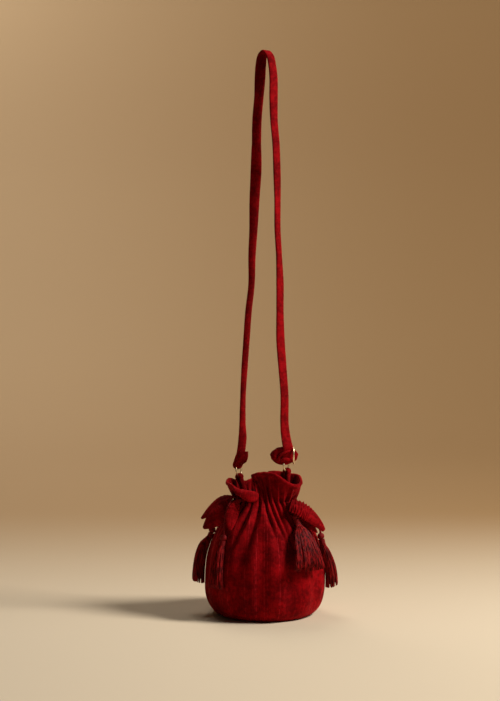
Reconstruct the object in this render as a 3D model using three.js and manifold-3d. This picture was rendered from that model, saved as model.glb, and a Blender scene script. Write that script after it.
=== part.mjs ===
// A kinchaku drawstring pouch: a gathered round velvet bag on a flat base, with two drawstrings,
// leaf petals and tassels at its sides, and a long carrying strap on two round rings.
// Millimetres, +Z up. The origin is the middle of the base, +X is the wearer's right, -Y the front.
import * as THREE from "three";
import { mergeVertices } from "three/addons/utils/BufferGeometryUtils.js";
import Module from "manifold-3d";

const wasm = await Module();
wasm.setup();

// Driving dimensions of the bag
const bellyRadius = 81;
const bellyHeight = 50;
const baseRadius = 58;
const neckHeight = 153;
const neckWidth = 84;
const neckDepth = 56;
const wall = 2.4;
const creaseDepth = 5;
const fluteDepth = 2.4;
const seamGap = 0.3;

// Drawstrings, the lining strip that holds them, and the knots that they end in
const drawstringThickness = 3;
const channelWall = 1.1;
const channelHeight = 9.4;
const exitWidth = 12;
const exitHeight = 4.6;
const knotRadius = 6;
const knotStandoff = 10.5;

// Strap, rings and slider
const strapWidth = 15;
const strapThickness = 4;
const ringDiameter = 18;
const ringWire = 2.2;
const leftRing = new THREE.Vector3(-35.5, 14, neckHeight + 36.7);
const rightRing = new THREE.Vector3(28, -14, neckHeight + 47.5);
const strapRise = 560;
const ringClearance = 0.4;
const foldWidth = 16;
const foldDepth = 9;
const foldLength = 27;
const foldShift = 3;
const strapKnotWidth = 37;
const strapKnotHeight = 25.5;
const strapKnotDepth = 17;
const knotLiftShare = 0.22;
const knotShift = 2.5;
const sliderWire = 2.2;
const sliderOffset = 12.5;
const tabWidth = 9;
const tabThickness = 6;

// Tassels and petals
const tasselCord = 3.2;
const tasselKnotRadius = 4.6;
const tasselStandoff = 1;
const boundShare = 0.14;
const petalThickness = 5;

// How finely the bag is drawn
const around = 96;
const bodyRows = 12;
const ruffleRows = 5;

const UP = new THREE.Vector3(0, 0, 1);
const rad = THREE.MathUtils.degToRad;
const vec = (x, y, z) => new THREE.Vector3(x, y, z);
const smooth = (t) => THREE.MathUtils.smoothstep(t, 0, 1);
const turnBetween = (a, b) => ((((a - b) % 360) + 540) % 360) - 180;

// Creases run down from the drawn neck: where each starts and where it fades out, in degrees from
// +X, how far below the neck it fades, and its share of the full depth.
const creases = [
  [3, 359, 68, 0.8],
  [18, 16, 84, 0.9],
  [33, 34, 62, 1],
  [48, 50, 76, 0.8],
  [63, 64, 90, 1],
  [77, 76, 66, 0.8],
  [92, 91, 80, 1],
  [107, 109, 60, 0.8],
  [121, 120, 88, 1],
  [136, 137, 64, 0.9],
  [151, 150, 78, 0.9],
  [166, 168, 66, 0.8],
  [181, 181, 84, 0.9],
  [195, 194, 70, 0.9],
  [208, 206, 60, 0.8],
  [220, 216, 76, 1],
  [231, 225, 60, 0.9],
  [243, 234, 86, 1],
  [253, 246, 66, 1],
  [262, 262, 36, 0.7],
  [270, 294, 84, 1.1],
  [279, 301, 74, 1],
  [289, 306, 80, 1],
  [300, 314, 66, 0.9],
  [313, 322, 76, 1],
  [328, 332, 60, 0.8],
  [345, 344, 78, 0.9],
];
const creaseAngleAtNeck = 3.6;
const creaseAngleAtEnd = 7;

// Broad flutes in the side of the bag: the angle of each, and its share of the full depth.
const flutes = [
  [20, 0.5],
  [52, 0.8],
  [80, 0.6],
  [112, 0.8],
  [143, 0.6],
  [172, 0.7],
  [198, 0.6],
  [223, 1],
  [248, 1.1],
  [276, 0.9],
  [305, 0.4],
  [334, 0.5],
];
const fluteHalfAngle = 7;

// The ruffle above the neck: for an angle on the neck, where the cloth's fold and its hem lie, as
// steps out from the neck, along it and up.
const ruffle = [
  { at: 0, fold: [5, 1, 18], hem: [7, 1, 28] },
  { at: 25, fold: [6, 2, 20], hem: [9, 3, 30] },
  { at: 45, fold: [3, -1, 20], hem: [5, -1, 31] },
  { at: 62, fold: [6, 0, 21], hem: [9, 1, 32] },
  { at: 76, fold: [2, 2, 22], hem: [3, 3, 33] },
  { at: 92, fold: [5, 0, 18], hem: [8, 0, 27] },
  { at: 108, fold: [3, 1, 16], hem: [5, 2, 24] },
  { at: 124, fold: [3, 0, 14], hem: [5, 0, 20] },
  { at: 140, fold: [6, -1, 14], hem: [10, -2, 20] },
  { at: 157, fold: [6, 1, 17], hem: [9, 2, 25] },
  { at: 172, fold: [7, 0, 18], hem: [9, 0, 26] },
  { at: 188, fold: [8, 2, 17], hem: [11, 2, 21] },
  { at: 202, fold: [9, 1, 19], hem: [13, 1, 20] },
  { at: 216, fold: [12, 1, 19], hem: [17, 1, 12] },
  { at: 230, fold: [14, 3, 17], hem: [19, 3, 8] },
  { at: 243, fold: [11, 8, 14], hem: [15, 9, 5] },
  { at: 254, fold: [-3, 0, 19], hem: [-7, -4, 26] },
  { at: 263, fold: [-5, -8, 22], hem: [-10, -14, 32] },
  { at: 273, fold: [-2, -6, 24], hem: [-4, -11, 37] },
  { at: 284, fold: [0, -3, 25], hem: [0, -5, 38] },
  { at: 297, fold: [4, -2, 23], hem: [6, -3, 34] },
  { at: 311, fold: [6, 0, 17], hem: [9, -1, 25] },
  { at: 326, fold: [7, 1, 13], hem: [10, 1, 21] },
  { at: 343, fold: [7, 2, 15], hem: [9, 3, 24] },
];
const foldShare = 0.62;

// The strap's centre line from the left ring over the top to the right ring: each point's share of
// the way across from ring to ring and of the strap's rise, and the turn of the strap's width from
// the X axis in degrees.
const strapRoute = [
  [0.045, 0.0434, 45],
  [0.085, 0.0802, 45],
  [0.085, 0.1141, 60],
  [0.096, 0.1816, 67],
  [0.128, 0.2491, 60],
  [0.170, 0.3164, 60],
  [0.212, 0.3836, 60],
  [0.276, 0.4505, 60],
  [0.286, 0.5173, 53],
  [0.318, 0.5838, 45],
  [0.338, 0.6502, 28],
  [0.370, 0.7164, 12],
  [0.380, 0.7825, 40],
  [0.390, 0.8391, 37],
  [0.432, 0.8953, 35],
  [0.453, 0.9375, 16],
  [0.470, 0.9680, 22],
  [0.505, 0.9900, 35],
  [0.575, 0.9990, 46],
  [0.655, 0.9900, 48],
  [0.705, 0.9660, 48],
  [0.732, 0.9362, 45],
  [0.733, 0.8940, 45],
  [0.743, 0.8378, 53],
  [0.785, 0.7813, 53],
  [0.806, 0.7155, 53],
  [0.817, 0.6495, 60],
  [0.818, 0.5835, 60],
  [0.850, 0.5174, 64],
  [0.871, 0.4512, 53],
  [0.871, 0.3848, 53],
  [0.882, 0.3183, 45],
  [0.925, 0.2519, 45],
  [0.967, 0.1854, 45],
  [0.967, 0.1186, 45],
  [0.999, 0.0853, 37],
  [1.000, 0.0505, 40],
];

// Petals: each by the drawstring knot it is sewn to, the middle line of the leaf as steps from that
// knot, its width, and the way its flat side faces.
const petals = {
  petal_left_front: {
    side: "left",
    line: [[3, -5, -2.4], [1.4, -11, -12.6], [-3.6, -16.1, -24.6], [-6.6, -22.1, -36.6]],
    width: 15,
    face: [-0.4, -0.8, 0.5],
  },
  petal_left_upper: {
    side: "left",
    line: [[-5.4, -0.4, 3.4], [-18.6, 4.9, 0.4], [-32.6, 10.9, -10.6], [-47.6, 17.9, -25.6]],
    width: 18,
    face: [-0.3, -0.55, 0.75],
  },
  petal_left_lower: {
    side: "left",
    line: [[-4.8, -1, -4.4], [-17, -5, -12.6], [-30.6, -3.5, -22.6], [-44.6, 5, -36.6]],
    width: 17,
    face: [-0.35, -0.75, 0.5],
  },
  petal_right_upper: {
    side: "right",
    line: [
      [3.6, -4.4, 3],
      [8.8, -8.8, -2.2],
      [19.2, -9.8, -10.4],
      [29.1, -8.8, -19.5],
      [37.1, -6.8, -28.5],
      [41.8, -4.8, -35.8],
    ],
    width: 19,
    face: [0.3, -0.65, 0.7],
  },
  petal_right_lower: {
    side: "right",
    line: [[5, -0.6, -4.2], [11, -2.8, -14.6], [19, -3, -24.4], [27.5, -0.8, -32.7], [31.9, 2.2, -39]],
    width: 12,
    face: [0.4, -0.6, 0.6],
  },
};

// Tassels: the side whose knot the cord leaves, the angle round the bag and the share of the neck's
// height of the tassel's own knot and of its skirt's foot, the foot's width and thickness, how soon
// the skirt opens (a lower power opens sooner), and the way that the cord leaves the drawstring knot.
const tassels = {
  tassel_right_front: {
    side: "right",
    knot: [312, 0.86],
    foot: [311, 0.464],
    across: 50,
    deep: 17,
    opening: 0.42,
    leave: [-0.6, -4.4, -4.4],
  },
  tassel_right_side: {
    side: "right",
    knot: [347, 0.693],
    foot: [353, 0.255],
    across: 19,
    deep: 16,
    opening: 0.7,
    leave: [5.5, 2.7, -0.9],
  },
  tassel_left_front: {
    side: "left",
    knot: [219.5, 0.706],
    foot: [222, 0.288],
    across: 24,
    deep: 14,
    opening: 0.7,
    leave: [-3.8, -4.8, 1.4],
  },
  tassel_left_side: {
    side: "left",
    knot: [176, 0.693],
    foot: [177, 0.281],
    across: 20,
    deep: 16,
    opening: 0.7,
    leave: [-4.2, 4.6, -1],
  },
};

// Finishes
const velvet = new THREE.MeshStandardMaterial({ color: 0x7e0f14, roughness: 0.9, metalness: 0 });
const lining = new THREE.MeshStandardMaterial({ color: 0x5a0a0e, roughness: 0.85, metalness: 0 });
const twistedCord = new THREE.MeshStandardMaterial({ color: 0x7a1216, roughness: 0.75, metalness: 0 });
const thread = new THREE.MeshStandardMaterial({ color: 0x861a1c, roughness: 0.65, metalness: 0 });
const gold = new THREE.MeshStandardMaterial({ color: 0xd9b36a, roughness: 0.25, metalness: 1 });

// A closed mesh from rings of points: the ends are capped, or the last ring joins the first.
function loft(rings, joined = false) {
  const count = rings[0].length;
  const points = rings.flat();
  const faces = [];
  const bands = joined ? rings.length : rings.length - 1;
  for (let i = 0; i < bands; i++) {
    const low = i * count;
    const high = ((i + 1) % rings.length) * count;
    for (let j = 0; j < count; j++) {
      const next = (j + 1) % count;
      faces.push(low + j, low + next, high + next, low + j, high + next, high + j);
    }
  }
  if (!joined) {
    const last = (rings.length - 1) * count;
    for (const [start, turned] of [[0, true], [last, false]]) {
      const middle = vec(0, 0, 0);
      for (let j = 0; j < count; j++) middle.addScaledVector(points[start + j], 1 / count);
      points.push(middle);
      const centre = points.length - 1;
      for (let j = 0; j < count; j++) {
        const next = (j + 1) % count;
        if (turned) faces.push(centre, start + next, start + j);
        else faces.push(centre, start + j, start + next);
      }
    }
  }
  const geometry = new THREE.BufferGeometry().setFromPoints(points);
  geometry.setIndex(faces);
  return geometry;
}

// Turns a geometry into a solid for joining and cutting, and back.
function toSolid(geometry) {
  const bare = geometry.clone();
  bare.deleteAttribute("normal");
  bare.deleteAttribute("uv");
  const merged = mergeVertices(bare, 1e-4);
  const mesh = new wasm.Mesh({
    numProp: 3,
    vertProperties: merged.attributes.position.array,
    triVerts: new Uint32Array(merged.index.array),
  });
  return new wasm.Manifold(mesh);
}

function toGeometry(solid) {
  const mesh = solid.getMesh();
  const geometry = new THREE.BufferGeometry();
  geometry.setAttribute("position", new THREE.BufferAttribute(mesh.vertProperties, 3));
  geometry.setIndex(new THREE.BufferAttribute(mesh.triVerts, 1));
  return geometry;
}

// A ring of points round a centre: an ellipse with half axes across and deep.
function ellipse(centre, across, deep, sides) {
  const ring = [];
  for (let j = 0; j < sides; j++) {
    const a = (2 * Math.PI * j) / sides;
    ring.push(centre.clone().addScaledVector(across, Math.cos(a)).addScaledVector(deep, Math.sin(a)));
  }
  return ring;
}

// The half axes of the bag at a height up to the neck.
function halfAxes(z) {
  const width = neckWidth / 2;
  const depth = neckDepth / 2;
  if (z < bellyHeight) {
    const rise = Math.max(z, 0) / bellyHeight;
    const r = baseRadius + (bellyRadius - baseRadius) * Math.pow(1 - Math.pow(1 - rise, 3), 0.6);
    return [r, r];
  }
  const t = (z - bellyHeight) / (neckHeight - bellyHeight);
  const swell = 1 - t * t;
  return [width + (bellyRadius - width) * swell, depth + (bellyRadius - depth) * swell];
}

// How far the gathers draw the cloth in at an angle and a height up to the neck.
function gathered(angle, z) {
  let inward = 0;
  for (const [atNeck, atEnd, reach, share] of creases) {
    const t = (z - (neckHeight - reach)) / reach;
    if (t <= 0) continue;
    const middle = atEnd + turnBetween(atNeck, atEnd) * t;
    const half = creaseAngleAtEnd + (creaseAngleAtNeck - creaseAngleAtEnd) * t;
    const off = turnBetween(angle, middle) / half;
    inward += creaseDepth * share * smooth(t) * Math.exp(-off * off);
  }
  const lift = z / neckHeight;
  const fluteFade = smooth(lift / 0.18) * smooth((0.95 - lift) / 0.4);
  for (const [at, share] of flutes) {
    const off = turnBetween(angle, at) / fluteHalfAngle;
    inward += fluteDepth * share * fluteFade * Math.exp(-off * off);
  }
  return inward;
}

// The outward direction of an oval at an angle, level with the ground.
function ovalNormal(angle, half) {
  return vec(Math.cos(rad(angle)) / half[0], Math.sin(rad(angle)) / half[1], 0).normalize();
}

// A point of the bag's outside up to the neck, moved out by a distance.
function bodyPoint(angle, z, out = 0) {
  const half = halfAxes(z);
  const p = vec(half[0] * Math.cos(rad(angle)), half[1] * Math.sin(rad(angle)), z);
  return p.addScaledVector(ovalNormal(angle, half), out - gathered(angle, z));
}

// A smooth value between the columns of the ruffle, by the angle on the neck.
function ruffleStep(angle, name, axis) {
  const n = ruffle.length;
  let i = ruffle.findLastIndex((column) => column.at <= angle);
  if (i < 0) i = n - 1;
  const at = (k) => ruffle[(k + n) % n].at + 360 * Math.floor(k / n);
  const value = (k) => ruffle[(k + n) % n][name][axis];
  const slope = (k) => (value(k + 1) - value(k - 1)) / (at(k + 1) - at(k - 1));
  const span = at(i + 1) - at(i);
  const t = (angle - at(i)) / span;
  const a = 2 * t ** 3 - 3 * t ** 2 + 1;
  const b = t ** 3 - 2 * t ** 2 + t;
  const c = t ** 3 - t ** 2;
  return a * value(i) + b * span * slope(i) + (1 - a) * value(i + 1) + c * span * slope(i + 1);
}

// A point of the ruffle's outside: share runs from 0 at the neck to 1 at the hem.
function rufflePoint(angle, share) {
  const half = [neckWidth / 2, neckDepth / 2];
  const neck = vec(half[0] * Math.cos(rad(angle)), half[1] * Math.sin(rad(angle)), neckHeight);
  const out = ovalNormal(angle, half);
  const along = UP.clone().cross(out);
  const move = (name) =>
    neck
      .clone()
      .addScaledVector(out, ruffleStep(angle, name, 0))
      .addScaledVector(along, ruffleStep(angle, name, 1))
      .addScaledVector(UP, ruffleStep(angle, name, 2));
  const p = vec(0, 0, 0)
    .addScaledVector(neck, ((share - foldShare) * (share - 1)) / foldShare)
    .addScaledVector(move("fold"), (share * (share - 1)) / (foldShare * (foldShare - 1)))
    .addScaledVector(move("hem"), (share * (share - foldShare)) / (1 - foldShare));
  return p.addScaledVector(out, -gathered(angle, neckHeight) * (1 - share) ** 1.5);
}

// The bag's wall: the outside from the base edge to the hem, and the inside a wall's thickness in.
function pouchShell() {
  const rows = [];
  for (let k = 0; k <= bodyRows; k++) {
    const z = (neckHeight * (1 - Math.cos((Math.PI * k) / bodyRows))) / 2;
    rows.push((angle) => bodyPoint(angle, z));
  }
  for (let k = 1; k <= ruffleRows; k++) rows.push((angle) => rufflePoint(angle, k / ruffleRows));
  const outside = rows.map((row) => {
    const ring = [];
    for (let j = 0; j < around; j++) ring.push(row((360 * j) / around));
    return ring;
  });
  const inside = outside.map((ring, k) =>
    ring.map((p, j) => {
      if (k === 0) return p.clone().addScaledVector(UP, wall);
      const east = ring[(j + 1) % around];
      const west = ring[(j + around - 1) % around];
      const above = outside[Math.min(k + 1, outside.length - 1)][j];
      const below = outside[Math.max(k - 1, 0)][j];
      const normal = east.clone().sub(west).cross(above.clone().sub(below)).normalize();
      return p.clone().addScaledVector(normal, -wall);
    }),
  );
  return loft([...outside, ...inside.reverse()], true);
}

// The places round the neck where the drawstrings leave, and the knots that they end in
const exitAngle = { left: 222, right: 318 };
const level = {
  left: neckHeight + (drawstringThickness + seamGap) / 2,
  right: neckHeight - (drawstringThickness + seamGap) / 2,
};
const cordInset = creaseDepth * 1.1 + wall + seamGap + drawstringThickness / 2;

// A point inside the neck, at an angle, a distance in from the smooth neck line and a height.
function neckOval(angle, inset, z) {
  const half = [neckWidth / 2, neckDepth / 2];
  const p = vec(half[0] * Math.cos(rad(angle)), half[1] * Math.sin(rad(angle)), z);
  return p.addScaledVector(ovalNormal(angle, half), -inset);
}

const exitDirection = (side) => ovalNormal(exitAngle[side], [neckWidth / 2, neckDepth / 2]);
const knotCentre = (side) =>
  neckOval(exitAngle[side], 0, level[side]).addScaledVector(exitDirection(side), knotStandoff);

// A window through the bag's wall for one drawstring.
function exitWindow(side) {
  const length = 2 * cordInset;
  const block = new THREE.BoxGeometry(length, exitWidth, exitHeight);
  const out = exitDirection(side);
  const turn = Math.atan2(out.y, out.x);
  block.rotateZ(turn);
  const centre = neckOval(exitAngle[side], 0, level[side]).addScaledVector(out, -1);
  block.translate(centre.x, centre.y, centre.z);
  return block;
}

// A drawstring: out of the window, once round inside the neck, and out again beside itself.
function drawstring(side) {
  const out = exitDirection(side);
  const along = UP.clone().cross(out);
  const z = level[side];
  const spread = (drawstringThickness + seamGap) / 2 + 0.3;
  const knotFace = Math.sqrt(knotRadius ** 2 - spread ** 2);
  const tail = knotStandoff - knotFace - 2 * seamGap;
  const beside = (across, outward) =>
    neckOval(exitAngle[side], 0, z).addScaledVector(along, across).addScaledVector(out, outward);
  const turnIn = 15;
  const steps = 24;
  const points = [beside(spread, tail), beside(spread, -1), beside(spread + 0.3, 2.5 - cordInset)];
  for (let k = 0; k <= steps; k++) {
    points.push(neckOval(exitAngle[side] + turnIn + ((360 - 2 * turnIn) * k) / steps, cordInset, z));
  }
  points.push(beside(-spread - 0.3, 2.5 - cordInset), beside(-spread, -1), beside(-spread, tail));
  return tube(new THREE.CatmullRomCurve3(points, false, "centripetal"), drawstringThickness, 44, 8);
}

// A round tube along a curve, its section a regular polygon.
function tube(curve, thickness, steps, sides) {
  const section = new THREE.Shape();
  for (let j = 0; j < sides; j++) {
    const a = (2 * Math.PI * j) / sides;
    const x = (thickness / 2) * Math.cos(a);
    const y = (thickness / 2) * Math.sin(a);
    if (j === 0) section.moveTo(x, y);
    else section.lineTo(x, y);
  }
  section.closePath();
  return new THREE.ExtrudeGeometry(section, { steps, extrudePath: curve, bevelEnabled: false });
}

// The lining strip that holds both drawstrings against the neck, its section a channel.
function drawstringChannel() {
  const low = neckHeight - channelHeight / 2;
  const high = neckHeight + channelHeight / 2;
  const lip = cordInset - drawstringThickness / 2;
  const back = cordInset + drawstringThickness / 2 + seamGap;
  const section = [
    [lip, low],
    [lip, low + channelWall],
    [back, low + channelWall],
    [back, high - channelWall],
    [lip, high - channelWall],
    [lip, high],
    [back + channelWall, high],
    [back + channelWall, low],
  ];
  const rings = [];
  const count = 40;
  for (let j = 0; j < count; j++) {
    rings.push(section.map(([inset, z]) => neckOval((-360 * j) / count, inset, z)));
  }
  return loft(rings, true);
}

// The flat round panel that the bag stands on.
function basePanel() {
  const edge = baseRadius - seamGap;
  const points = [
    new THREE.Vector2(0, 0),
    new THREE.Vector2(edge, 0),
    new THREE.Vector2(edge, wall),
    new THREE.Vector2(0, wall),
  ];
  return new THREE.LatheGeometry(points, 48).rotateX(Math.PI / 2);
}

// The line through both ring centres, which the strap and the rings turn about, and the level
// direction across it
const ringAxis = rightRing.clone().sub(leftRing).normalize();
const ringAcross = UP.clone().cross(ringAxis).normalize();
const ringRise = ringAxis.clone().cross(ringAcross).normalize();
const ringLevel = ringAxis.clone().setZ(0).normalize();

// A round wire ring about the ring axis, or the tunnel that it turns in.
function ring(centre, wire, sides = 8, count = 24) {
  const middle = (ringDiameter - ringWire) / 2;
  const rings = [];
  for (let j = 0; j < count; j++) {
    const a = (-2 * Math.PI * j) / count;
    const out = ringAcross.clone().multiplyScalar(Math.cos(a)).addScaledVector(ringRise, Math.sin(a));
    const p = centre.clone().addScaledVector(out, middle);
    const across = out.multiplyScalar(wire / 2);
    rings.push(ellipse(p, across, ringAxis.clone().multiplyScalar(wire / 2), sides));
  }
  return loft(rings, true);
}

const tunnel = (centre) => toSolid(ring(centre, ringWire + 2 * ringClearance, 8, 24));

const tabAngle = { left: 167, right: 347 };

// A fabric loop from the lining strip up over the foot of a ring.
function tab(side) {
  const centre = side === "left" ? leftRing : rightRing;
  const inner = cordInset + drawstringThickness / 2 + 2 * seamGap + channelWall + tabThickness / 2;
  const foot = neckOval(tabAngle[side], inner, neckHeight - channelHeight / 2);
  const lip = foot.clone().setZ(neckHeight + channelHeight / 2 + tabThickness / 4);
  const top = centre.clone().addScaledVector(ringRise, -(ringDiameter - ringWire) / 2);
  const sections = [
    [foot, 0.5, 0.34],
    [lip, 0.5, 0.36],
    [lip.clone().lerp(top, 0.35), 0.5, 0.42],
    [lip.clone().lerp(top, 0.7), 0.54, 0.48],
    [top, 0.62, 0.5],
    [top.clone().addScaledVector(UP, 2.6), 0.54, 0.42],
    [top.clone().addScaledVector(UP, 4.4), 0.26, 0.24],
  ];
  const rings = sections.map(([p, thick, wide]) =>
    ellipse(
      p,
      ringLevel.clone().multiplyScalar(tabThickness * thick),
      ringAcross.clone().multiplyScalar(tabWidth * wide),
      10,
    ),
  );
  return toGeometry(toSolid(loft(rings)).subtract(tunnel(centre)));
}

// The strap's middle line in the upright plane through both rings.
function strapPoint([across, up]) {
  const p = leftRing.clone().lerp(rightRing, across);
  return p.setZ(leftRing.z + strapRise * up);
}

// The strap: a flat velvet tube, its left end folded over the ring, its right end rolled in a knot.
function carryStrap() {
  const middle = new THREE.CatmullRomCurve3(strapRoute.map(strapPoint), false, "centripetal");
  const rings = [];
  const perStep = 2;
  const count = (strapRoute.length - 1) * perStep;
  for (let k = 0; k <= count; k++) {
    const i = Math.min(Math.floor(k / perStep), strapRoute.length - 2);
    const part = k / perStep - i;
    const p = middle.getPoint(k / count);
    const forward = middle.getTangent(k / count);
    const turn = rad(strapRoute[i][2] * (1 - part) + strapRoute[i + 1][2] * part);
    const wide = vec(Math.cos(turn), Math.sin(turn), 0);
    wide.addScaledVector(forward, -wide.dot(forward)).normalize();
    const thick = forward.clone().cross(wide).multiplyScalar(strapThickness / 2);
    rings.push(ellipse(p, wide.multiplyScalar(strapWidth / 2), thick, 6));
  }
  const band = toSolid(loft(rings));
  const leftEnd = leftRing.clone().addScaledVector(ringRise, (ringDiameter - ringWire) / 2);
  const fold = [
    [-3.4, 0.2],
    [-1.6, 0.42],
    [1.5, 0.5],
    [8, 0.52],
    [16, 0.5],
    [22, 0.46],
    [foldLength, 0.3],
  ];
  const start = strapPoint(strapRoute[0]);
  const foldRings = fold.map(([up, half]) => {
    const p = leftEnd.clone().addScaledVector(UP, up);
    p.lerp(vec(start.x, start.y, p.z), Math.max(0, up) / foldLength);
    p.addScaledVector(ringLevel, foldShift * half);
    return ellipse(
      p,
      ringLevel.clone().multiplyScalar(foldWidth * half),
      ringAcross.clone().multiplyScalar(foldDepth * half),
      10,
    );
  });
  const knot = new THREE.SphereGeometry(0.5, 18, 10);
  knot.rotateX(Math.PI / 2);
  knot.scale(strapKnotWidth, strapKnotDepth, strapKnotHeight);
  const k = strapKnotCentre();
  knot.translate(k.x, k.y, k.z);
  const whole = band
    .add(toSolid(loft(foldRings)))
    .add(toSolid(knot))
    .subtract(tunnel(leftRing))
    .subtract(tunnel(rightRing));
  return toGeometry(whole);
}

// The middle of the strap's knot, which the right ring's top passes through.
function strapKnotCentre() {
  const lift = (ringDiameter - ringWire) / 2 + strapKnotHeight * knotLiftShare;
  return rightRing.clone().add(vec(-knotShift, 0, lift));
}

// A slim wire slider round the knot's right end.
function slider() {
  const c = strapKnotCentre().add(vec(sliderOffset, 0, 0));
  const narrowing = Math.sqrt(1 - (sliderOffset / (strapKnotWidth / 2)) ** 2);
  const high = (strapKnotHeight / 2) * narrowing + seamGap + sliderWire / 2;
  const deep = (strapKnotDepth / 2) * narrowing + seamGap + sliderWire / 2;
  const rings = [];
  const count = 22;
  for (let j = 0; j < count; j++) {
    const a = (-2 * Math.PI * j) / count;
    const p = c.clone().add(vec(0, deep * Math.cos(a), high * Math.sin(a)));
    const out = vec(0, Math.cos(a) / deep, Math.sin(a) / high).normalize();
    rings.push(ellipse(p, out.multiplyScalar(sliderWire / 2), vec(sliderWire / 2, 0, 0), 8));
  }
  return loft(rings, true);
}

// The knot that a drawstring's two ends are tied in.
function drawstringKnot(side) {
  const ball = new THREE.SphereGeometry(knotRadius, 12, 8);
  const c = knotCentre(side);
  return ball.translate(c.x, c.y, c.z);
}

// A leaf of folded velvet: narrow where it is sewn on, widest past its middle, pointed at its tip.
function petal({ side, line, width, face }) {
  const knot = knotCentre(side);
  const points = line.map((step) => knot.clone().add(vec(...step)));
  const leave = vec(...line[0]).normalize();
  points[0] = knot.clone().addScaledVector(leave, knotRadius + seamGap);
  points.splice(1, 0, knot.clone().addScaledVector(leave, knotRadius + petalThickness / 2));
  const curve = new THREE.CatmullRomCurve3(points, false, "centripetal");
  const steps = 8;
  const rings = [];
  for (let k = 0; k <= steps; k++) {
    const t = k / steps;
    const p = curve.getPoint(t);
    const forward = curve.getTangent(t);
    const across = vec(...face).cross(forward).normalize();
    const out = forward.clone().cross(across);
    const half = (width / 2) * Math.sin(Math.PI * (0.03 + 0.93 * t)) ** 0.9;
    const thick = (petalThickness / 2) * (0.6 + 1.6 * t * (1 - t));
    rings.push(ellipse(p, across.multiplyScalar(half), out.multiplyScalar(thick), 8));
  }
  return loft(rings);
}

// The places of a tassel: where its cord leaves, its knot, and the foot of its skirt
function tasselPlaces({ side, knot, foot, deep, leave }) {
  const away = vec(...leave).normalize();
  const from = knotCentre(side).addScaledVector(away, knotRadius + seamGap);
  const clear = tasselStandoff + tasselKnotRadius + creaseDepth / 2;
  const ball = bodyPoint(knot[0], knot[1] * neckHeight, clear);
  const end = bodyPoint(foot[0], foot[1] * neckHeight, tasselStandoff + deep / 2);
  return { away, from, ball, end };
}

// A tassel's cord, from the drawstring knot down to the tassel's own knot.
function tasselCordTube(spec) {
  const { away, from, ball, end } = tasselPlaces(spec);
  const hang = ball.clone().sub(end).normalize().lerp(UP, 0.5).normalize();
  const stop = ball.clone().addScaledVector(hang, tasselKnotRadius + seamGap);
  const free = from.distanceTo(stop);
  const leaving = from.clone().addScaledVector(away, free * 0.35);
  const coming = stop.clone().addScaledVector(hang, free * 0.35);
  const curve = new THREE.CubicBezierCurve3(from, leaving, coming, stop);
  return tube(curve, tasselCord, 8, 8);
}

function tasselKnot(spec) {
  const { ball } = tasselPlaces(spec);
  return new THREE.SphereGeometry(tasselKnotRadius, 12, 8).translate(ball.x, ball.y, ball.z);
}

// The tassel's skirt: bound tight under the knot, then spreading down the bag's side to its foot.
function tasselSkirt(spec) {
  const { ball, end } = tasselPlaces(spec);
  const down = end.clone().sub(ball).normalize();
  const start = ball.clone().addScaledVector(down, tasselKnotRadius + seamGap);
  const bound = tasselKnotRadius * 0.75;
  const rows = [0, 0.07, 0.14, 0.24, 0.38, 0.55, 0.8, 1];
  const rings = rows.map((t) => {
    const opened = Math.max(0, (t - boundShare) / (1 - boundShare));
    const w = bound + (spec.across / 2 - bound) * opened ** spec.opening;
    const d = bound + (spec.deep / 2 - bound) * opened ** (spec.opening / 2);
    const angle = spec.knot[0] + turnBetween(spec.foot[0], spec.knot[0]) * t;
    const z = start.z + (end.z - start.z) * t;
    const rest = bodyPoint(angle, z, tasselStandoff + d);
    const hung = start.clone().lerp(end, t);
    const out = ovalNormal(angle, [1, 1]);
    const p = hung.dot(out) > rest.dot(out) ? hung : rest;
    const across = out.clone().cross(down).normalize();
    const deep = down.clone().cross(across);
    return ellipse(p, across.multiplyScalar(w), deep.multiplyScalar(d), 12);
  });
  return loft(rings);
}

const group = new THREE.Group();

function place(name, geometry, material) {
  const mesh = new THREE.Mesh(geometry, material);
  mesh.name = name;
  group.add(mesh);
}

const windows = toSolid(exitWindow("left")).add(toSolid(exitWindow("right")));
place("pouch_shell", toGeometry(toSolid(pouchShell()).subtract(windows)), velvet);
place("base_panel", basePanel(), velvet);
place("drawstring_channel", drawstringChannel(), lining);
for (const side of ["left", "right"]) {
  place(side + "_drawstring", drawstring(side), twistedCord);
  place(side + "_drawstring_knot", drawstringKnot(side), twistedCord);
  place(side + "_tab", tab(side), velvet);
  place(side + "_ring", ring(side === "left" ? leftRing : rightRing, ringWire), gold);
}
place("carry_strap", carryStrap(), velvet);
place("strap_slider", slider(), gold);
for (const [name, spec] of Object.entries(petals)) place(name, petal(spec), velvet);
for (const [name, spec] of Object.entries(tassels)) {
  place(name + "_cord", tasselCordTube(spec), twistedCord);
  place(name + "_knot", tasselKnot(spec), twistedCord);
  place(name + "_skirt", tasselSkirt(spec), thread);
}

export default group;
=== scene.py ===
"""The looks of a gathered velvet drawstring pouch: its ruffled wall, leaf petals, thread tassels, and
a long strap on two wire rings. Everything is in metres, +Z up, and -Y is the front."""

import math

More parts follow.
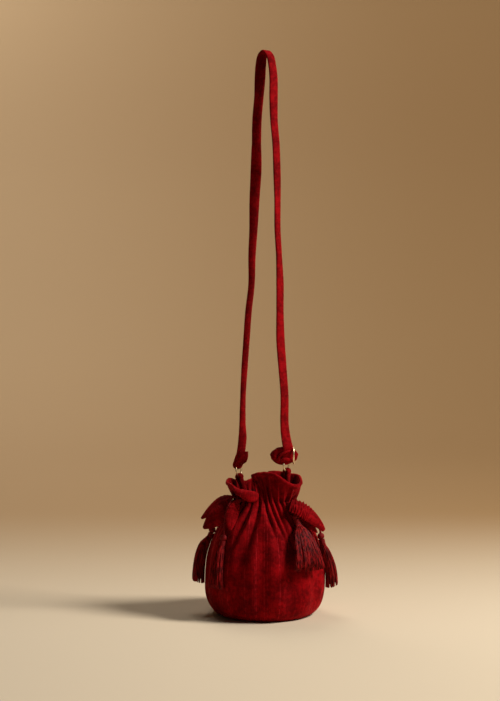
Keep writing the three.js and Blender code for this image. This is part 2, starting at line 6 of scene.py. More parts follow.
import bpy
import numpy as np
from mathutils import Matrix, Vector


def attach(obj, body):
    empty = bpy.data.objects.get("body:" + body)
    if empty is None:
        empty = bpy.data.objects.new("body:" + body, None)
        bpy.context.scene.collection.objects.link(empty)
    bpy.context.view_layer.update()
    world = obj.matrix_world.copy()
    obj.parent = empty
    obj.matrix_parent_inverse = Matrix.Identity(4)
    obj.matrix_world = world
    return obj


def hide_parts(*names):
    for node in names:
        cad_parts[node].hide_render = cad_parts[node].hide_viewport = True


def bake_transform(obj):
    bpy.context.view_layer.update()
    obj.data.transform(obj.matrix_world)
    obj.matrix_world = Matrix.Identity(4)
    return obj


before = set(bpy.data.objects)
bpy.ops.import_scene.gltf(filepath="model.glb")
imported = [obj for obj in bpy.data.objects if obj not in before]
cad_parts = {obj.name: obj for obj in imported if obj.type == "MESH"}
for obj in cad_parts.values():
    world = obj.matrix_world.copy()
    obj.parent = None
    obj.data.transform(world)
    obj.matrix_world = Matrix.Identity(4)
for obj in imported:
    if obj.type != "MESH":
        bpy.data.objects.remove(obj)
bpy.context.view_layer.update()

MM = 0.001

# Camera, at the photograph's place and angle
CAMERA_PLACE = (-0.020, -2.300, 0.490)
CAMERA_DOWN = 3.4
CAMERA_LENS = 88.59
camera_data = bpy.data.cameras.new("camera")
camera_data.sensor_fit = "AUTO"
camera_data.sensor_width = 36
camera_data.lens = CAMERA_LENS
camera = bpy.data.objects.new("camera", camera_data)
camera.location = CAMERA_PLACE
camera.rotation_euler = (math.radians(90 - CAMERA_DOWN), 0, 0)
bpy.context.scene.collection.objects.link(camera)
bpy.context.scene.camera = camera

# Sizes of the bag, as its solids have them
BELLY_RADIUS = 81 * MM
BELLY_HEIGHT = 50 * MM
BASE_RADIUS = 58 * MM
NECK_HEIGHT = 153 * MM
NECK_WIDTH = 84 * MM
NECK_DEPTH = 56 * MM
TOUCHING_GAP = 0.3 * MM
CHANNEL_INSET = 9.7 * MM
CHANNEL_HALF_HEIGHT = 4.7 * MM
CHANNEL_WALL = 1.1 * MM
CHANNEL_LIP = 1.5 * MM
CHANNEL_BACK = 1.8 * MM
TAB_INSET = 3 * MM
DRAWSTRING = 3 * MM
DRAWSTRING_STEP = 1.65 * MM
KNOT_RADIUS = 6 * MM
KNOT_STANDOFF = 10.5 * MM
STRAP_WIDTH = 15 * MM
STRAP_THICKNESS = 4 * MM
STRAP_RISE = 560 * MM
RING_DIAMETER = 18 * MM
RING_WIRE = 2.2 * MM
SLIDER_WIRE = 2.2 * MM
SLIDER_OFFSET = 12.5 * MM
TASSEL_CORD = 3.2 * MM
TASSEL_KNOT_RADIUS = 4.6 * MM
TASSEL_NECK_RADIUS = TASSEL_KNOT_RADIUS * 0.75
TASSEL_STANDOFF = 1 * MM
BOUND_SHARE = 0.14
UP = np.array([0.0, 0.0, 1.0])
LEFT_RING = np.array([-35.5, 14, 189.7]) * MM
RIGHT_RING = np.array([28, -14, 200.5]) * MM

# Sizes of the folds, hem, tabs, strap's turn on its ring and petals, which differ from the solids'
CREASE_DEPTH = 7.0 * MM
FLUTE_DEPTH = 4.4 * MM
PLEAT_DEPTH = 1.0 * MM
PLEAT_REACH = 30 * MM
SLACK_DEPTH = 0.9 * MM
CLOTH = 1.6 * MM
HEM_THICKNESS = 3.6 * MM
TAB_WIDTH = 10.5 * MM
TAB_THICKNESS = 4.3 * MM
TAB_OFF_WIRE = 1.95 * MM
STRAP_OFF_WIRE = 2.3 * MM
PETAL_THICKNESS = 3.4 * MM


# Directions and curves

def unit(v):
    """The vectors of an array at length 1."""
    v = np.asarray(v, float)
    return v / np.maximum(np.linalg.norm(v, axis=-1, keepdims=True), 1e-12)


def smooth(t):
    """A soft step from 0 to 1."""
    t = np.clip(t, 0, 1)
    return t * t * (3 - 2 * t)


def turn_between(a, b):
    """The turn from angle b to angle a in degrees, the short way."""
    return (a - b + 540) % 360 - 180


def through(points, count):
    """Points on a smooth curve through some points, as a centripetal Catmull-Rom curve has them."""
    points = np.asarray(points, float)
    ends = [2 * points[0] - points[1], *points, 2 * points[-1] - points[-2]]
    found = []
    for k in range(count):
        place = (len(points) - 1) * k / (count - 1)
        i = min(int(place), len(points) - 2)
        w = place - i
        p0, p1, p2, p3 = ends[i : i + 4]
        pairs = ((p0, p1), (p1, p2), (p2, p3))
        d0, d1, d2 = (max(np.linalg.norm(b - a), 1e-9) ** 0.5 for a, b in pairs)
        t1 = ((p1 - p0) / d0 - (p2 - p0) / (d0 + d1) + (p2 - p1) / d1) * d1
        t2 = ((p2 - p1) / d1 - (p3 - p1) / (d1 + d2) + (p3 - p2) / d2) * d1
        c2 = -3 * p1 + 3 * p2 - 2 * t1 - t2
        c3 = 2 * p1 - 2 * p2 + t1 + t2
        found.append(p1 + t1 * w + c2 * w**2 + c3 * w**3)
    return np.array(found)


def tangents(points):
    """The direction of a curve at each of its points."""
    return unit(np.gradient(points, axis=0))


def lengths(points):
    """How far along the curve each point lies."""
    steps = np.linalg.norm(np.diff(points, axis=0), axis=1)
    return np.concatenate([[0], np.cumsum(steps)])


def read_at(places, known, rows):
    """Rows of vectors, read between the places where they are known."""
    return np.stack([np.interp(places, known, rows[:, k]) for k in range(3)], axis=1)


def resampled(points, step):
    """The same curve with points about a step apart."""
    along = lengths(points)
    count = max(3, int(round(along[-1] / step)) + 1)
    return read_at(np.linspace(0, along[-1], count), along, points)


def carried(points, start):
    """Side directions along a curve that don't twist about it, from a first side direction."""
    forward = tangents(points)
    side = np.asarray(start, float)
    sides = []
    for f in forward:
        side = side - f * side.dot(f)
        side = side / np.linalg.norm(side)
        sides.append(side)
    return np.array(sides)


# Meshes

class Piece:
    """A mesh that is made of lofted skins, with a UV map in metres."""

    def __init__(self):
        self.points = []
        self.faces = []
        self.uvs = []
        self.slots = []

    def loft(self, rings, u=None, v=None, joined=False, slots=None):
        """Adds a skin over rings of points. Each ring closes on itself, and the last ring may join the
        first. u runs round the rings and v along them; slots gives each band's material."""
        rings = np.asarray(rings, float)
        rows, count = rings.shape[:2]
        if u is None:
            middle = rings[rows // 2]
            around = np.linalg.norm(np.roll(middle, -1, axis=0) - middle, axis=1)
            u = np.concatenate([[0], np.cumsum(around)])
        if v is None:
            v = lengths(rings.mean(1))
            if joined:
                v = np.concatenate([v, [v[-1] + v[1]]])
        if slots is None:
            slots = [0] * rows
        first = len(self.points)
        self.points.extend(rings.reshape(-1, 3).tolist())
        for i in range(rows if joined else rows - 1):
            low = first + i * count
            high = first + (i + 1) % rows * count
            for j in range(count):
                n = (j + 1) % count
                self.faces.append((low + j, low + n, high + n, high + j))
                corners = ((u[j], v[i]), (u[j + 1], v[i]), (u[j + 1], v[i + 1]), (u[j], v[i + 1]))
                self.uvs.extend(corners)
                self.slots.append(slots[i])
        if not joined:
            for row, turned in ((0, True), (rows - 1, False)):
                centre = len(self.points)
                self.points.append(rings[row].mean(0).tolist())
                start = first + row * count
                for j in range(count):
                    n = (j + 1) % count
                    ring = (start + n, start + j) if turned else (start + j, start + n)
                    self.faces.append((centre, *ring))
                    self.uvs.extend([(u[0], v[row])] * 3)
                    self.slots.append(slots[max(row - 1, 0)])

    def make(self, name, body, materials, slot, node):
        """The finished object, which rides on its body, or, given a row of bodies, rides on none with
        its place baked in, and stands for a node's solid."""
        mesh = bpy.data.meshes.new(name)
        mesh.from_pydata(self.points, [], self.faces)
        layer = mesh.uv_layers.new(name="UVMap")
        layer.data.foreach_set("uv", np.array(self.uvs, np.float32).ravel())
        mesh.polygons.foreach_set("material_index", self.slots)
        mesh.polygons.foreach_set("use_smooth", [True] * len(self.faces))
        for material in materials:
            mesh.materials.append(material)
        mesh.update()
        made = bpy.data.objects.new(name, mesh)
        bpy.context.scene.collection.objects.link(made)
        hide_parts(node)
        if isinstance(body, str):
            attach(made, body)
        else:
            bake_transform(made)
        return made


def oval_rings(points, wide, deep, width, thickness, sides, power=2.0):
    """Rings across a curve: ovals, squarer with a higher power. width and thickness run along it."""
    a = np.arange(sides) * 2 * math.pi / sides
    c, s = np.cos(a), np.sin(a)
    c = np.sign(c) * np.abs(c) ** (2 / power)
    s = np.sign(s) * np.abs(s) ** (2 / power)
    width = np.broadcast_to(width, len(points))[:, None, None]
    thickness = np.broadcast_to(thickness, len(points))[:, None, None]
    return (
        points[:, None, :]
        + wide[:, None, :] * width / 2 * c[None, :, None]
        + deep[:, None, :] * thickness / 2 * s[None, :, None]
    )


PLY_SHARE = 0.31
PLY_SIDES = 7


def add_twisted(piece, points, diameter, pitch, start):
    """Adds a twisted cord along a curve: two plies that wind round each other."""
    side = carried(points, start)
    other = np.cross(tangents(points), side)
    along = lengths(points)
    ply = diameter * PLY_SHARE
    for half_turn in (0, 0.5):
        a = 2 * math.pi * (along / pitch + half_turn)
        away = side * np.cos(a)[:, None] + other * np.sin(a)[:, None]
        line = points + (diameter / 2 - ply) * away
        wide = carried(line, start)
        deep = np.cross(tangents(line), wide)
        piece.loft(oval_rings(line, wide, deep, 2 * ply, 2 * ply, PLY_SIDES))


# Materials

class Value:
    """A number that flows through a material. Arithmetic on it adds Math nodes."""

    def __init__(self, finish, socket):
        self.finish = finish
        self.socket = socket

    def maths(self, operation, *values):
        return self.finish.node("ShaderNodeMath", {"operation": operation}, list(values))

    def __add__(self, other):
        return self.maths("ADD", self, other)

    def __mul__(self, other):
        return self.maths("MULTIPLY", self, other)

    __radd__ = __add__
    __rmul__ = __mul__

    def sine(self):
        return self.maths("SINE", self)


class Finish:
    """A material's nodes round its Principled BSDF."""

    def __init__(self, name, **constant):
        self.material = bpy.data.materials.new(name)
        self.material.use_nodes = True
        self.tree = self.material.node_tree
        self.shader = self.tree.nodes["Principled BSDF"]
        for key, value in constant.items():
            socket = key.replace("_", " ").title().replace("Ior", "IOR")
            self.shader.inputs[socket].default_value = value

    def node(self, kind, settings=None, inputs=(), output=0):
        """Adds a node: its settings first, then the values or links of its sockets."""
        made = self.tree.nodes.new(kind)
        for key, value in (settings or {}).items():
            setattr(made, key, value)
        pairs = inputs.items() if isinstance(inputs, dict) else enumerate(inputs)
        for key, value in pairs:
            if isinstance(value, Value):
                self.tree.links.new(value.socket, made.inputs[key])
            else:
                made.inputs[key].default_value = value
        return Value(self, made.outputs[output])

    def set(self, socket, value):
        self.tree.links.new(value.socket, self.shader.inputs[socket])

    def uv(self):
        """The piece's own UV map as two numbers, in metres."""
        at = self.node("ShaderNodeUVMap", {"uv_map": "UVMap"})
        return [self.node("ShaderNodeSeparateXYZ", {}, [at], k) for k in (0, 1)]

    def place(self, scale=(1, 1, 1)):
        """Object coordinates, stretched."""
        at = self.node("ShaderNodeTexCoord", {}, (), "Object")
        return self.node("ShaderNodeMapping", {}, {"Vector": at, "Scale": scale})

    def noise(self, at, scale, detail=2.0, roughness=0.5):
        values = {"Vector": at, "Scale": scale, "Detail": detail, "Roughness": roughness}
        return self.node("ShaderNodeTexNoise", {}, values)

    def streaks(self, along, scale, detail=1.0):
        """Noise that changes along one number only, so that it draws straight lines."""
        values = {"W": along * scale, "Detail": detail}
        return self.node("ShaderNodeTexNoise", {"noise_dimensions": "1D"}, values)

    def ramp(self, value, low, high):
        """A number stretched between two places."""
        return self.node(
            "ShaderNodeMapRange",
            {"interpolation_type": "SMOOTHSTEP"},
            {"Value": value, "From Min": low, "From Max": high, "To Min": 0.0, "To Max": 1.0},
        )

    def mix(self, factor, a, b):
        """A colour between two."""
        made = self.tree.nodes.new("ShaderNodeMix")
        made.data_type = "RGBA"
        for key, value in ((0, factor), (6, a), (7, b)):
            if isinstance(value, Value):
                self.tree.links.new(value.socket, made.inputs[key])
            else:
                made.inputs[key].default_value = value
        return Value(self, made.outputs[2])

    def bump(self, height, distance):
        values = {"Height": height, "Distance": distance, "Strength": 1.0}
        self.set("Normal", self.node("ShaderNodeBump", {}, values))


def shade(red, green, blue):
    """A colour as a shader holds it, from the numbers of a screen."""
    parts = [c / 255 for c in (red, green, blue)]
    return (*(((p + 0.055) / 1.055) ** 2.4 if p > 0.04045 else p / 12.92 for p in parts), 1)


DEEP_RED = shade(90, 0, 3)
WINE_RED = shade(148, 2, 9)
BRIGHT_RED = shade(204, 40, 48)
LINING_RED = shade(84, 3, 8)
CORD_RED = shade(140, 10, 14)
CORD_DEEP = shade(66, 2, 4)
THREAD_RED = shade(146, 12, 14)
THREAD_DEEP = shade(72, 2, 3)
PALE_GOLD = shade(255, 236, 200)
VELVET_SHEEN = shade(255, 60, 60)
YARN_SHEEN = shade(255, 80, 70)


def velvet(name, rib, rib_pitch, rib_height=0.16 * MM, lines=0.5):
    """Wine red velvet: fine ribs along one way of the UV map, some of them paler, and a nap that is
    brushed this way and that."""
    finish = Finish(
        name, sheen_weight=0.3, sheen_roughness=0.4, sheen_tint=VELVET_SHEEN, specular_ior_level=0.04
    )
    u, v = finish.uv()
    across = u if rib == "u" else v
    at = finish.place()
    brushed = finish.noise(at, 46, 3.0, 0.55)
    crushed = finish.noise(at, 210, 3.0, 0.6)
    fuzz = finish.noise(at, 2600, 1.0)
    ribs = (across * (2 * math.pi / rib_pitch)).sine() * 0.5 + 0.5
    paler = finish.ramp(finish.streaks(across, 1 / (2.2 * rib_pitch)), 0.55, 0.64)
    band = finish.ramp(finish.streaks(across, 1 / (11 * rib_pitch), 0.0), 0.40, 0.62)
    nap = finish.ramp(brushed * 0.55 + crushed * 0.45, 0.36, 0.66)
    colour = finish.mix(nap, DEEP_RED, WINE_RED)
    broken = finish.ramp(crushed, 0.4, 0.6) * 0.75 + 0.25
    colour = finish.mix(paler * band * ribs * broken * lines, colour, BRIGHT_RED)
    colour = finish.mix(ribs * 0.18, colour, DEEP_RED)
    finish.set("Base Color", colour)
    finish.set("Roughness", nap * -0.12 + 0.86)
    finish.bump(ribs * 0.6 + fuzz * 0.5 + crushed * 0.5 + paler * band * 0.6, rib_height)
    return finish.material


def lining_cloth():
    """Plain woven lining."""
    finish = Finish("lining_cloth", sheen_weight=0.1, sheen_tint=VELVET_SHEEN, specular_ior_level=0.1)
    u, v = finish.uv()
    thread_turn = 2 * math.pi / (0.8 * MM)
    weave = (u * thread_turn).sine() * (v * thread_turn).sine()
    mottle = finish.noise(finish.place(), 90, 2.0)
    finish.set("Base Color", finish.mix(mottle, shade(70, 5, 10), LINING_RED))
    finish.set("Roughness", mottle * 0.1 + 0.72)
    finish.bump(weave * 0.5 + mottle, 0.1 * MM)
    return finish.material


def cord_yarn():
    """The yarn of the twisted cords."""
    finish = Finish("cord_yarn", sheen_weight=0.08, sheen_tint=YARN_SHEEN, specular_ior_level=0.12)
    u, v = finish.uv()
    fibres = finish.streaks(u * 1.6 + v, 1 / (0.35 * MM))
    finish.set("Base Color", finish.mix(finish.ramp(fibres, 0.3, 0.7), CORD_DEEP, CORD_RED))
    finish.set("Roughness", fibres * 0.2 + 0.5)
    finish.bump(fibres, 0.12 * MM)
    return finish.material


def tassel_thread():
    """Loose threads with a dull shine."""
    finish = Finish("tassel_thread", sheen_weight=0.05, sheen_tint=YARN_SHEEN, specular_ior_level=0.1)
    u, _ = finish.uv()
    tone = finish.noise(finish.place((1, 1, 0.25)), 320, 2.0)
    finish.set("Base Color", finish.mix(finish.ramp(tone, 0.35, 0.68), THREAD_DEEP, THREAD_RED))
    finish.set("Roughness", tone * 0.2 + 0.45)
    finish.bump(finish.streaks(u, 1 / (0.2 * MM)), 0.05 * MM)
    return finish.material


def gold_wire():
    """Polished pale gold, with faint wear."""
    finish = Finish("gold_wire", metallic=1.0)
    wear = finish.noise(finish.place(), 420, 3.0)
    finish.set("Base Color", finish.mix(wear, shade(232, 196, 136), PALE_GOLD))
    finish.set("Roughness", wear * 0.16 + 0.28)
    finish.bump(wear, 0.02 * MM)
    return finish.material


BODY_VELVET = velvet("body_velvet", "u", 2.3 * MM, 0.18 * MM, 0.75)
STRAP_VELVET = velvet("strap_velvet", "v", 1.5 * MM, 0.2 * MM, 0.3)
PETAL_VELVET = velvet("petal_velvet", "v", 1.9 * MM, 0.2 * MM, 0.3)
LINING = lining_cloth()
YARN = cord_yarn()
THREAD = tassel_thread()
GOLD = gold_wire()

# The bag's wall

# Gathers run down from the drawn neck: where each starts and where it fades out, in degrees from +X,
# how far below the neck it fades in millimetres, and its share of the full depth
CREASES = (
    (3, 359, 68, 0.8), (18, 16, 84, 0.9), (33, 34, 62, 1), (48, 50, 76, 0.8), (63, 64, 90, 1),
    (77, 76, 66, 0.8), (92, 91, 80, 1), (107, 109, 60, 0.8), (121, 120, 88, 1), (136, 137, 64, 0.9),
    (151, 150, 78, 0.9), (166, 168, 66, 0.8), (181, 181, 84, 0.9), (195, 194, 70, 0.9),
    (208, 204, 60, 0.8), (218, 212, 70, 0.9), (232, 217, 60, 0.8), (246, 225, 84, 1.1),
    (261, 243, 88, 1.2), (270, 294, 84, 1.1), (279, 301, 74, 1), (289, 306, 80, 1),
    (300, 314, 66, 0.9), (313, 322, 76, 1), (328, 332, 60, 0.8), (345, 344, 78, 0.9),
)
NARROWEST_FOLD = 3.5
WIDEST_FOLD = 9.0
CREASE_ROUNDING = 0.004

# Folds that stand proud in front, each beside a crease: the angle at the neck and where it fades out,
# how far below the neck it fades in millimetres, its height in millimetres and its half angle
RIDGES = (
    (254, 229, 84, 3.6, 3.6), (263, 290, 66, 2.2, 3.2), (274, 297.5, 62, 1.6, 2.6),
    (284, 303.5, 66, 1.4, 2.6), (233, 222, 60, 1.2, 3.0), (268, 277, 76, 2.6, 11),
)

# Broad flutes in the side of the bag: the angle of each, and its share of the full depth
FLUTES = (
    (20, 0.5), (52, 0.8), (80, 0.6), (112, 0.8), (143, 0.6), (170, 0.7), (193, 0.7), (216, 1),
    (245, 1.2), (267, 1.1), (297, 0.7), (326, 0.6),
)
FLUTE_HALF_ANGLE = 7.5

# The ruffle above the neck: for an angle on the neck, where the cloth's fold and its hem lie, as
# millimetres out from the neck, along it and up
RUFFLE = (
    (0, (5, 1, 18), (7, 1, 28)),
    (25, (6, 2, 20), (9, 3, 30)),
    (45, (3, -1, 20), (5, -1, 31)),
    (62, (6, 0, 21), (9, 1, 32)),
    (76, (2, 2, 22), (3, 3, 33)),
    (92, (5, 0, 18), (8, 0, 27)),
    (108, (3, 1, 16), (5, 2, 24)),
    (124, (3, 0, 14), (5, 0, 20)),
    (140, (6, -1, 14), (10, -2, 20)),
    (157, (6, 1, 17), (9, 2, 25)),
    (172, (7, 0, 18), (9, 0, 26)),
    (188, (8, 2, 16), (11, 2, 23)),
    (202, (9, 1, 17), (12, 1, 22)),
    (216, (10, 1, 16), (14, 1, 19)),
    (230, (13, 3, 16), (18, 3, 11)),
    (243, (11, 8, 14), (15, 9, 5)),
    (249, (3, 5, 12), (3, 4, 11)),
    (256, (-6, -2, 20), (-8, -6, 27)),
    (264, (-9, -8, 22), (-7, -14, 33)),
    (273, (-8, -6, 24), (-5, -11, 37)),
    (284, (-4, -3, 25), (-2, -5, 38)),
    (297, (4, -2, 23), (6, -3, 34)),
    (311, (6, 0, 17), (9, -1, 25)),
    (326, (7, 1, 13), (10, 1, 21)),
    (343, (7, 2, 15), (9, 3, 24)),
)
FOLD_SHARE = 0.62

# Where the ruffle's fine stripes are deepest and how far round they stay deep, in degrees
STRIPED_ANGLE = 272
STRIPED_REACH = 20


def half_axes(z):
    """The half axes of the bag at heights up to the neck."""
    width, depth = NECK_WIDTH / 2, NECK_DEPTH / 2
    rise = np.clip(z / BELLY_HEIGHT, 0, 1)
    low = BASE_RADIUS + (BELLY_RADIUS - BASE_RADIUS) * (1 - (1 - rise) ** 3) ** 0.54
    swell = 1 - ((z - BELLY_HEIGHT) / (NECK_HEIGHT - BELLY_HEIGHT)) ** 2
    x = np.where(z < BELLY_HEIGHT, low, width + (BELLY_RADIUS - width) * swell)
    y = np.where(z < BELLY_HEIGHT, low, depth + (BELLY_RADIUS - depth) * swell)
    return x, y


def gathered(angle, z):
    """How far the gathers draw the cloth in: sharp creases with round folds between them, fine
    pleats at the drawn neck, and broad flutes lower down."""
    angle, z = np.broadcast_arrays(np.asarray(angle, float), np.asarray(z, float))
    shown = [np.clip((z - (NECK_HEIGHT - c[2] * MM)) / (c[2] * MM), 0, 1) for c in CREASES]
    middle = [c[1] + turn_between(c[0], c[1]) * t for c, t in zip(CREASES, shown)]
    inward = np.zeros(angle.shape)
    for k, crease in enumerate(CREASES):
        off = turn_between(angle, middle[k])
        after = turn_between(middle[(k + 1) % len(CREASES)], middle[k]) / 2
        before = turn_between(middle[k], middle[k - 1]) / 2
        half = np.clip(np.where(off > 0, after, before), NARROWEST_FOLD, WIDEST_FOLD)
        x = np.clip(np.sqrt((off / half) ** 2 + CREASE_ROUNDING), 0, 1)
        inward = inward + CREASE_DEPTH * crease[3] * smooth(shown[k]) * (1 - x) ** 2
    for at_neck, at_end, reach, height, half in RIDGES:
        t = np.clip((NECK_HEIGHT - z) / (reach * MM), 0, 1)
        off = turn_between(angle, at_neck + turn_between(at_end, at_neck) * t) / half
        inward = inward - height * MM * smooth((1 - t) / 0.55) * smooth(t / 0.3) * np.exp(-off * off)
    a = np.radians(angle)
    pleats = np.sin(61 * a + 3 * np.sin(5 * a)) * (0.6 + 0.4 * np.sin(7 * a + 1))
    inward = inward - PLEAT_DEPTH * pleats * smooth((z - NECK_HEIGHT + PLEAT_REACH) / PLEAT_REACH)
    lift = z / NECK_HEIGHT
    slack = np.sin(4 * a + 9 * lift) * np.sin(7 * a - 5 * lift + 2)
    inward = inward + SLACK_DEPTH * slack * smooth(lift / 0.2) * smooth((1 - lift) / 0.3)
    fade = smooth(lift / 0.18) * smooth((0.95 - lift) / 0.4)
    for at, share in FLUTES:
        off = turn_between(angle, at) / FLUTE_HALF_ANGLE
        inward = inward + FLUTE_DEPTH * share * fade * np.exp(-off * off)
    return inward


def oval_normal(angle, x, y):
    """The outward directions of an oval, level with the ground."""
    a = np.radians(angle)
    return unit(np.stack(np.broadcast_arrays(np.cos(a) / x, np.sin(a) / y, 0.0), axis=-1))


def body_point(angle, z, out=0.0):
    """Points of the bag's outside up to the neck, moved out by a distance."""
    angle, z = np.broadcast_arrays(np.asarray(angle, float), np.asarray(z, float))
    x, y = half_axes(z)
    a = np.radians(angle)
    p = np.stack([x * np.cos(a), y * np.sin(a), z], axis=-1)
    return p + oval_normal(angle, x, y) * (out - gathered(angle, z))[..., None]


def ruffle_steps(angle, which, axis):
    """One step of the ruffle's fold (which is 1) or hem (2), smooth between the ruffle's columns."""
    n = len(RUFFLE)
    at = np.array([c[0] for c in RUFFLE], float)
    value = np.array([c[which][axis] for c in RUFFLE], float)
    at = np.concatenate([at[-2:] - 360, at, at[:2] + 360])
    value = np.concatenate([value[-2:], value, value[:2]])
    slope = np.gradient(value, at)
    i = np.clip(np.searchsorted(at, angle, side="right") - 1, 1, n + 1)
    span = at[i + 1] - at[i]
    t = (angle - at[i]) / span
    a = 2 * t**3 - 3 * t**2 + 1
    b = t**3 - 2 * t**2 + t
    c = t**3 - t**2
    return (a * value[i] + b * span * slope[i] + (1 - a) * value[i + 1] + c * span * slope[i + 1]) * MM


def ruffle_point(angle, share):
    """Points of the ruffle's outside: share runs from 0 at the neck to 1 at the hem."""
    x, y = NECK_WIDTH / 2, NECK_DEPTH / 2
    a = np.radians(angle)
    neck = np.stack([x * np.cos(a), y * np.sin(a), np.full_like(a, NECK_HEIGHT)], axis=-1)
    out = oval_normal(angle, x, y)
    along = np.cross(UP, out)
    fold, hem = (
        neck
        + out * ruffle_steps(angle, which, 0)[:, None]
        + along * ruffle_steps(angle, which, 1)[:, None]
        + UP * ruffle_steps(angle, which, 2)[:, None]
        for which in (1, 2)
    )
    p = (
        neck * ((share - FOLD_SHARE) * (share - 1) / FOLD_SHARE)
        + fold * (share * (share - 1) / (FOLD_SHARE * (FOLD_SHARE - 1)))
        + hem * (share * (share - FOLD_SHARE) / (1 - FOLD_SHARE))
    )
    kept = 0.9 * (1 - share) ** 1.8 + 0.1 * (1 - share)
    deeper = 0.45 + 1.2 * np.exp(-((turn_between(angle, STRIPED_ANGLE) / STRIPED_REACH) ** 2))
    stripes = deeper * MM * np.sin(47 * a + 2 * np.sin(5 * a)) * smooth(share / 0.3) * (1 - share) ** 0.6
    return p - out * (gathered(angle, NECK_HEIGHT) * kept + stripes)[:, None]


# How finely the wall is divided: round it, up to the neck, up the ruffle and over the rim
WALL_COLUMNS = 432
BODY_ROWS = 96
RUFFLE_ROWS = 40
RIM_STEPS = 6

# The rolled hem, in rows up from the base: where the cloth starts to thicken and over how many rows,
# the bead at the top, and the stitched groove below it
HEM_STARTS = 108
HEM_GROWS = 24
BEAD_ROW = 132
GROOVE_ROW = 125.5
BEAD_HEIGHT = 0.8 * MM
TURNED_IN_ROWS = 12


def pouch_wall():
    """The velvet wall: up the outside, over the rolled hem, and down the inside as its lining."""
    angle = np.arange(WALL_COLUMNS) * 360 / WALL_COLUMNS
    heights = NECK_HEIGHT * (1 - np.cos(np.pi * np.linspace(0, 1, BODY_ROWS))) / 2
    outside = [body_point(angle, z) for z in heights]
    outside += [ruffle_point(angle, share) for share in np.linspace(0, 1, RUFFLE_ROWS)[1:]]
    outside = np.array(outside)
    east = np.roll(outside, -1, axis=1) - np.roll(outside, 1, axis=1)
    normal = unit(np.cross(east, np.gradient(outside, axis=0)))
    row = np.arange(len(outside))
    hem = smooth((row - HEM_STARTS) / HEM_GROWS)[:, None, None]
    thickness = CLOTH + (HEM_THICKNESS - CLOTH) * hem
    bead = np.exp(-(((row - BEAD_ROW) / 2.4) ** 2))
    groove = 0.45 * np.exp(-(((row - GROOVE_ROW) / 1.6) ** 2))
    outer = outside + normal * (BEAD_HEIGHT * (bead - groove)[:, None, None])
    inner = outside - normal * thickness
    inner[0] = outside[0] + UP * CLOTH
    middle = (outer[-1] + inner[-1]) / 2
    rising = unit(outside[-1] - outside[-2])
    rim = []
    for k in range(1, RIM_STEPS):
        a = math.pi * k / RIM_STEPS
        reach = (outer[-1] - middle) * math.cos(a) + rising * (HEM_THICKNESS / 2 * math.sin(a))
        rim.append(middle + reach)
    thin = list(range(len(outside) - 1, BODY_ROWS, -2)) + list(range(BODY_ROWS, 0, -3)) + [0]
    rings = np.concatenate([outer, np.array(rim), inner[thin]])
    u = np.linspace(0, 2 * math.pi * BELLY_RADIUS, WALL_COLUMNS + 1)
    front_column = WALL_COLUMNS * 25 // 36
    v = lengths(rings[:, front_column])
    v = np.concatenate([v, [v[-1] + CLOTH]])
    facing = len(outer) + len(rim) + TURNED_IN_ROWS
    slots = [0 if i < facing else 1 for i in range(len(rings))]
    wall = Piece()
    wall.loft(rings, u, v, joined=True, slots=slots)
    return wall.make("velvet_wall", "pouch", [BODY_VELVET, LINING], "velvet", "pouch_shell")


# The base panel's edge: shares of its radius and of its thickness, from below to above
PANEL_UNDER = ((0.001, 0), (0.4, 0), (0.8, 0), (0.94, 0), (0.985, 0.12), (1, 0.4))
PANEL_OVER = ((1, 0.7), (0.985, 0.92), (0.94, 1), (0.8, 1), (0.4, 1), (0.001, 1))
PANEL_THICKNESS = 2.4 * MM
PANEL_COLUMNS = 96


def base_disc():
    """The round base panel, with its edge turned in."""
    radius = BASE_RADIUS - TOUCHING_GAP
    a = np.arange(PANEL_COLUMNS) * 2 * math.pi / PANEL_COLUMNS
    round_line = np.stack([np.cos(a), np.sin(a), np.zeros_like(a)], axis=1)
    profile = PANEL_UNDER + PANEL_OVER
    rings = [round_line * (radius * r) + UP * (PANEL_THICKNESS * h) for r, h in profile]
    u = np.linspace(0, 2 * math.pi * BELLY_RADIUS, PANEL_COLUMNS + 1)
    v = [radius * r for r, _ in PANEL_UNDER] + [radius * (2 - r) for r, _ in PANEL_OVER]
    disc = Piece()
    disc.loft(rings, u, v)
    return disc.make("base_disc", "pouch", [BODY_VELVET], "velvet", "base_panel")


# Drawstrings

EXIT_ANGLE = {"left": 222, "right": 318}
LEVEL = {"left": NECK_HEIGHT + DRAWSTRING_STEP, "right": NECK_HEIGHT - DRAWSTRING_STEP}
TAB_ANGLE = {"left": 167, "right": 347}


def neck_oval(angle, inset, z):
    """Points inside the neck, a distance in from the smooth neck line."""
    angle = np.asarray(angle, float)
    x, y = NECK_WIDTH / 2, NECK_DEPTH / 2
    a = np.radians(angle)
    p = np.stack(np.broadcast_arrays(x * np.cos(a), y * np.sin(a), z), axis=-1)
    return p - oval_normal(angle, x, y) * np.asarray(inset)[..., None]


def exit_direction(side):
    """The way out of the neck where a drawstring leaves it."""
    return oval_normal(EXIT_ANGLE[side], NECK_WIDTH / 2, NECK_DEPTH / 2)


def knot_centre(side):
    """The middle of the knot in a drawstring's ends."""
    return neck_oval(EXIT_ANGLE[side], 0, LEVEL[side]) + exit_direction(side) * KNOT_STANDOFF


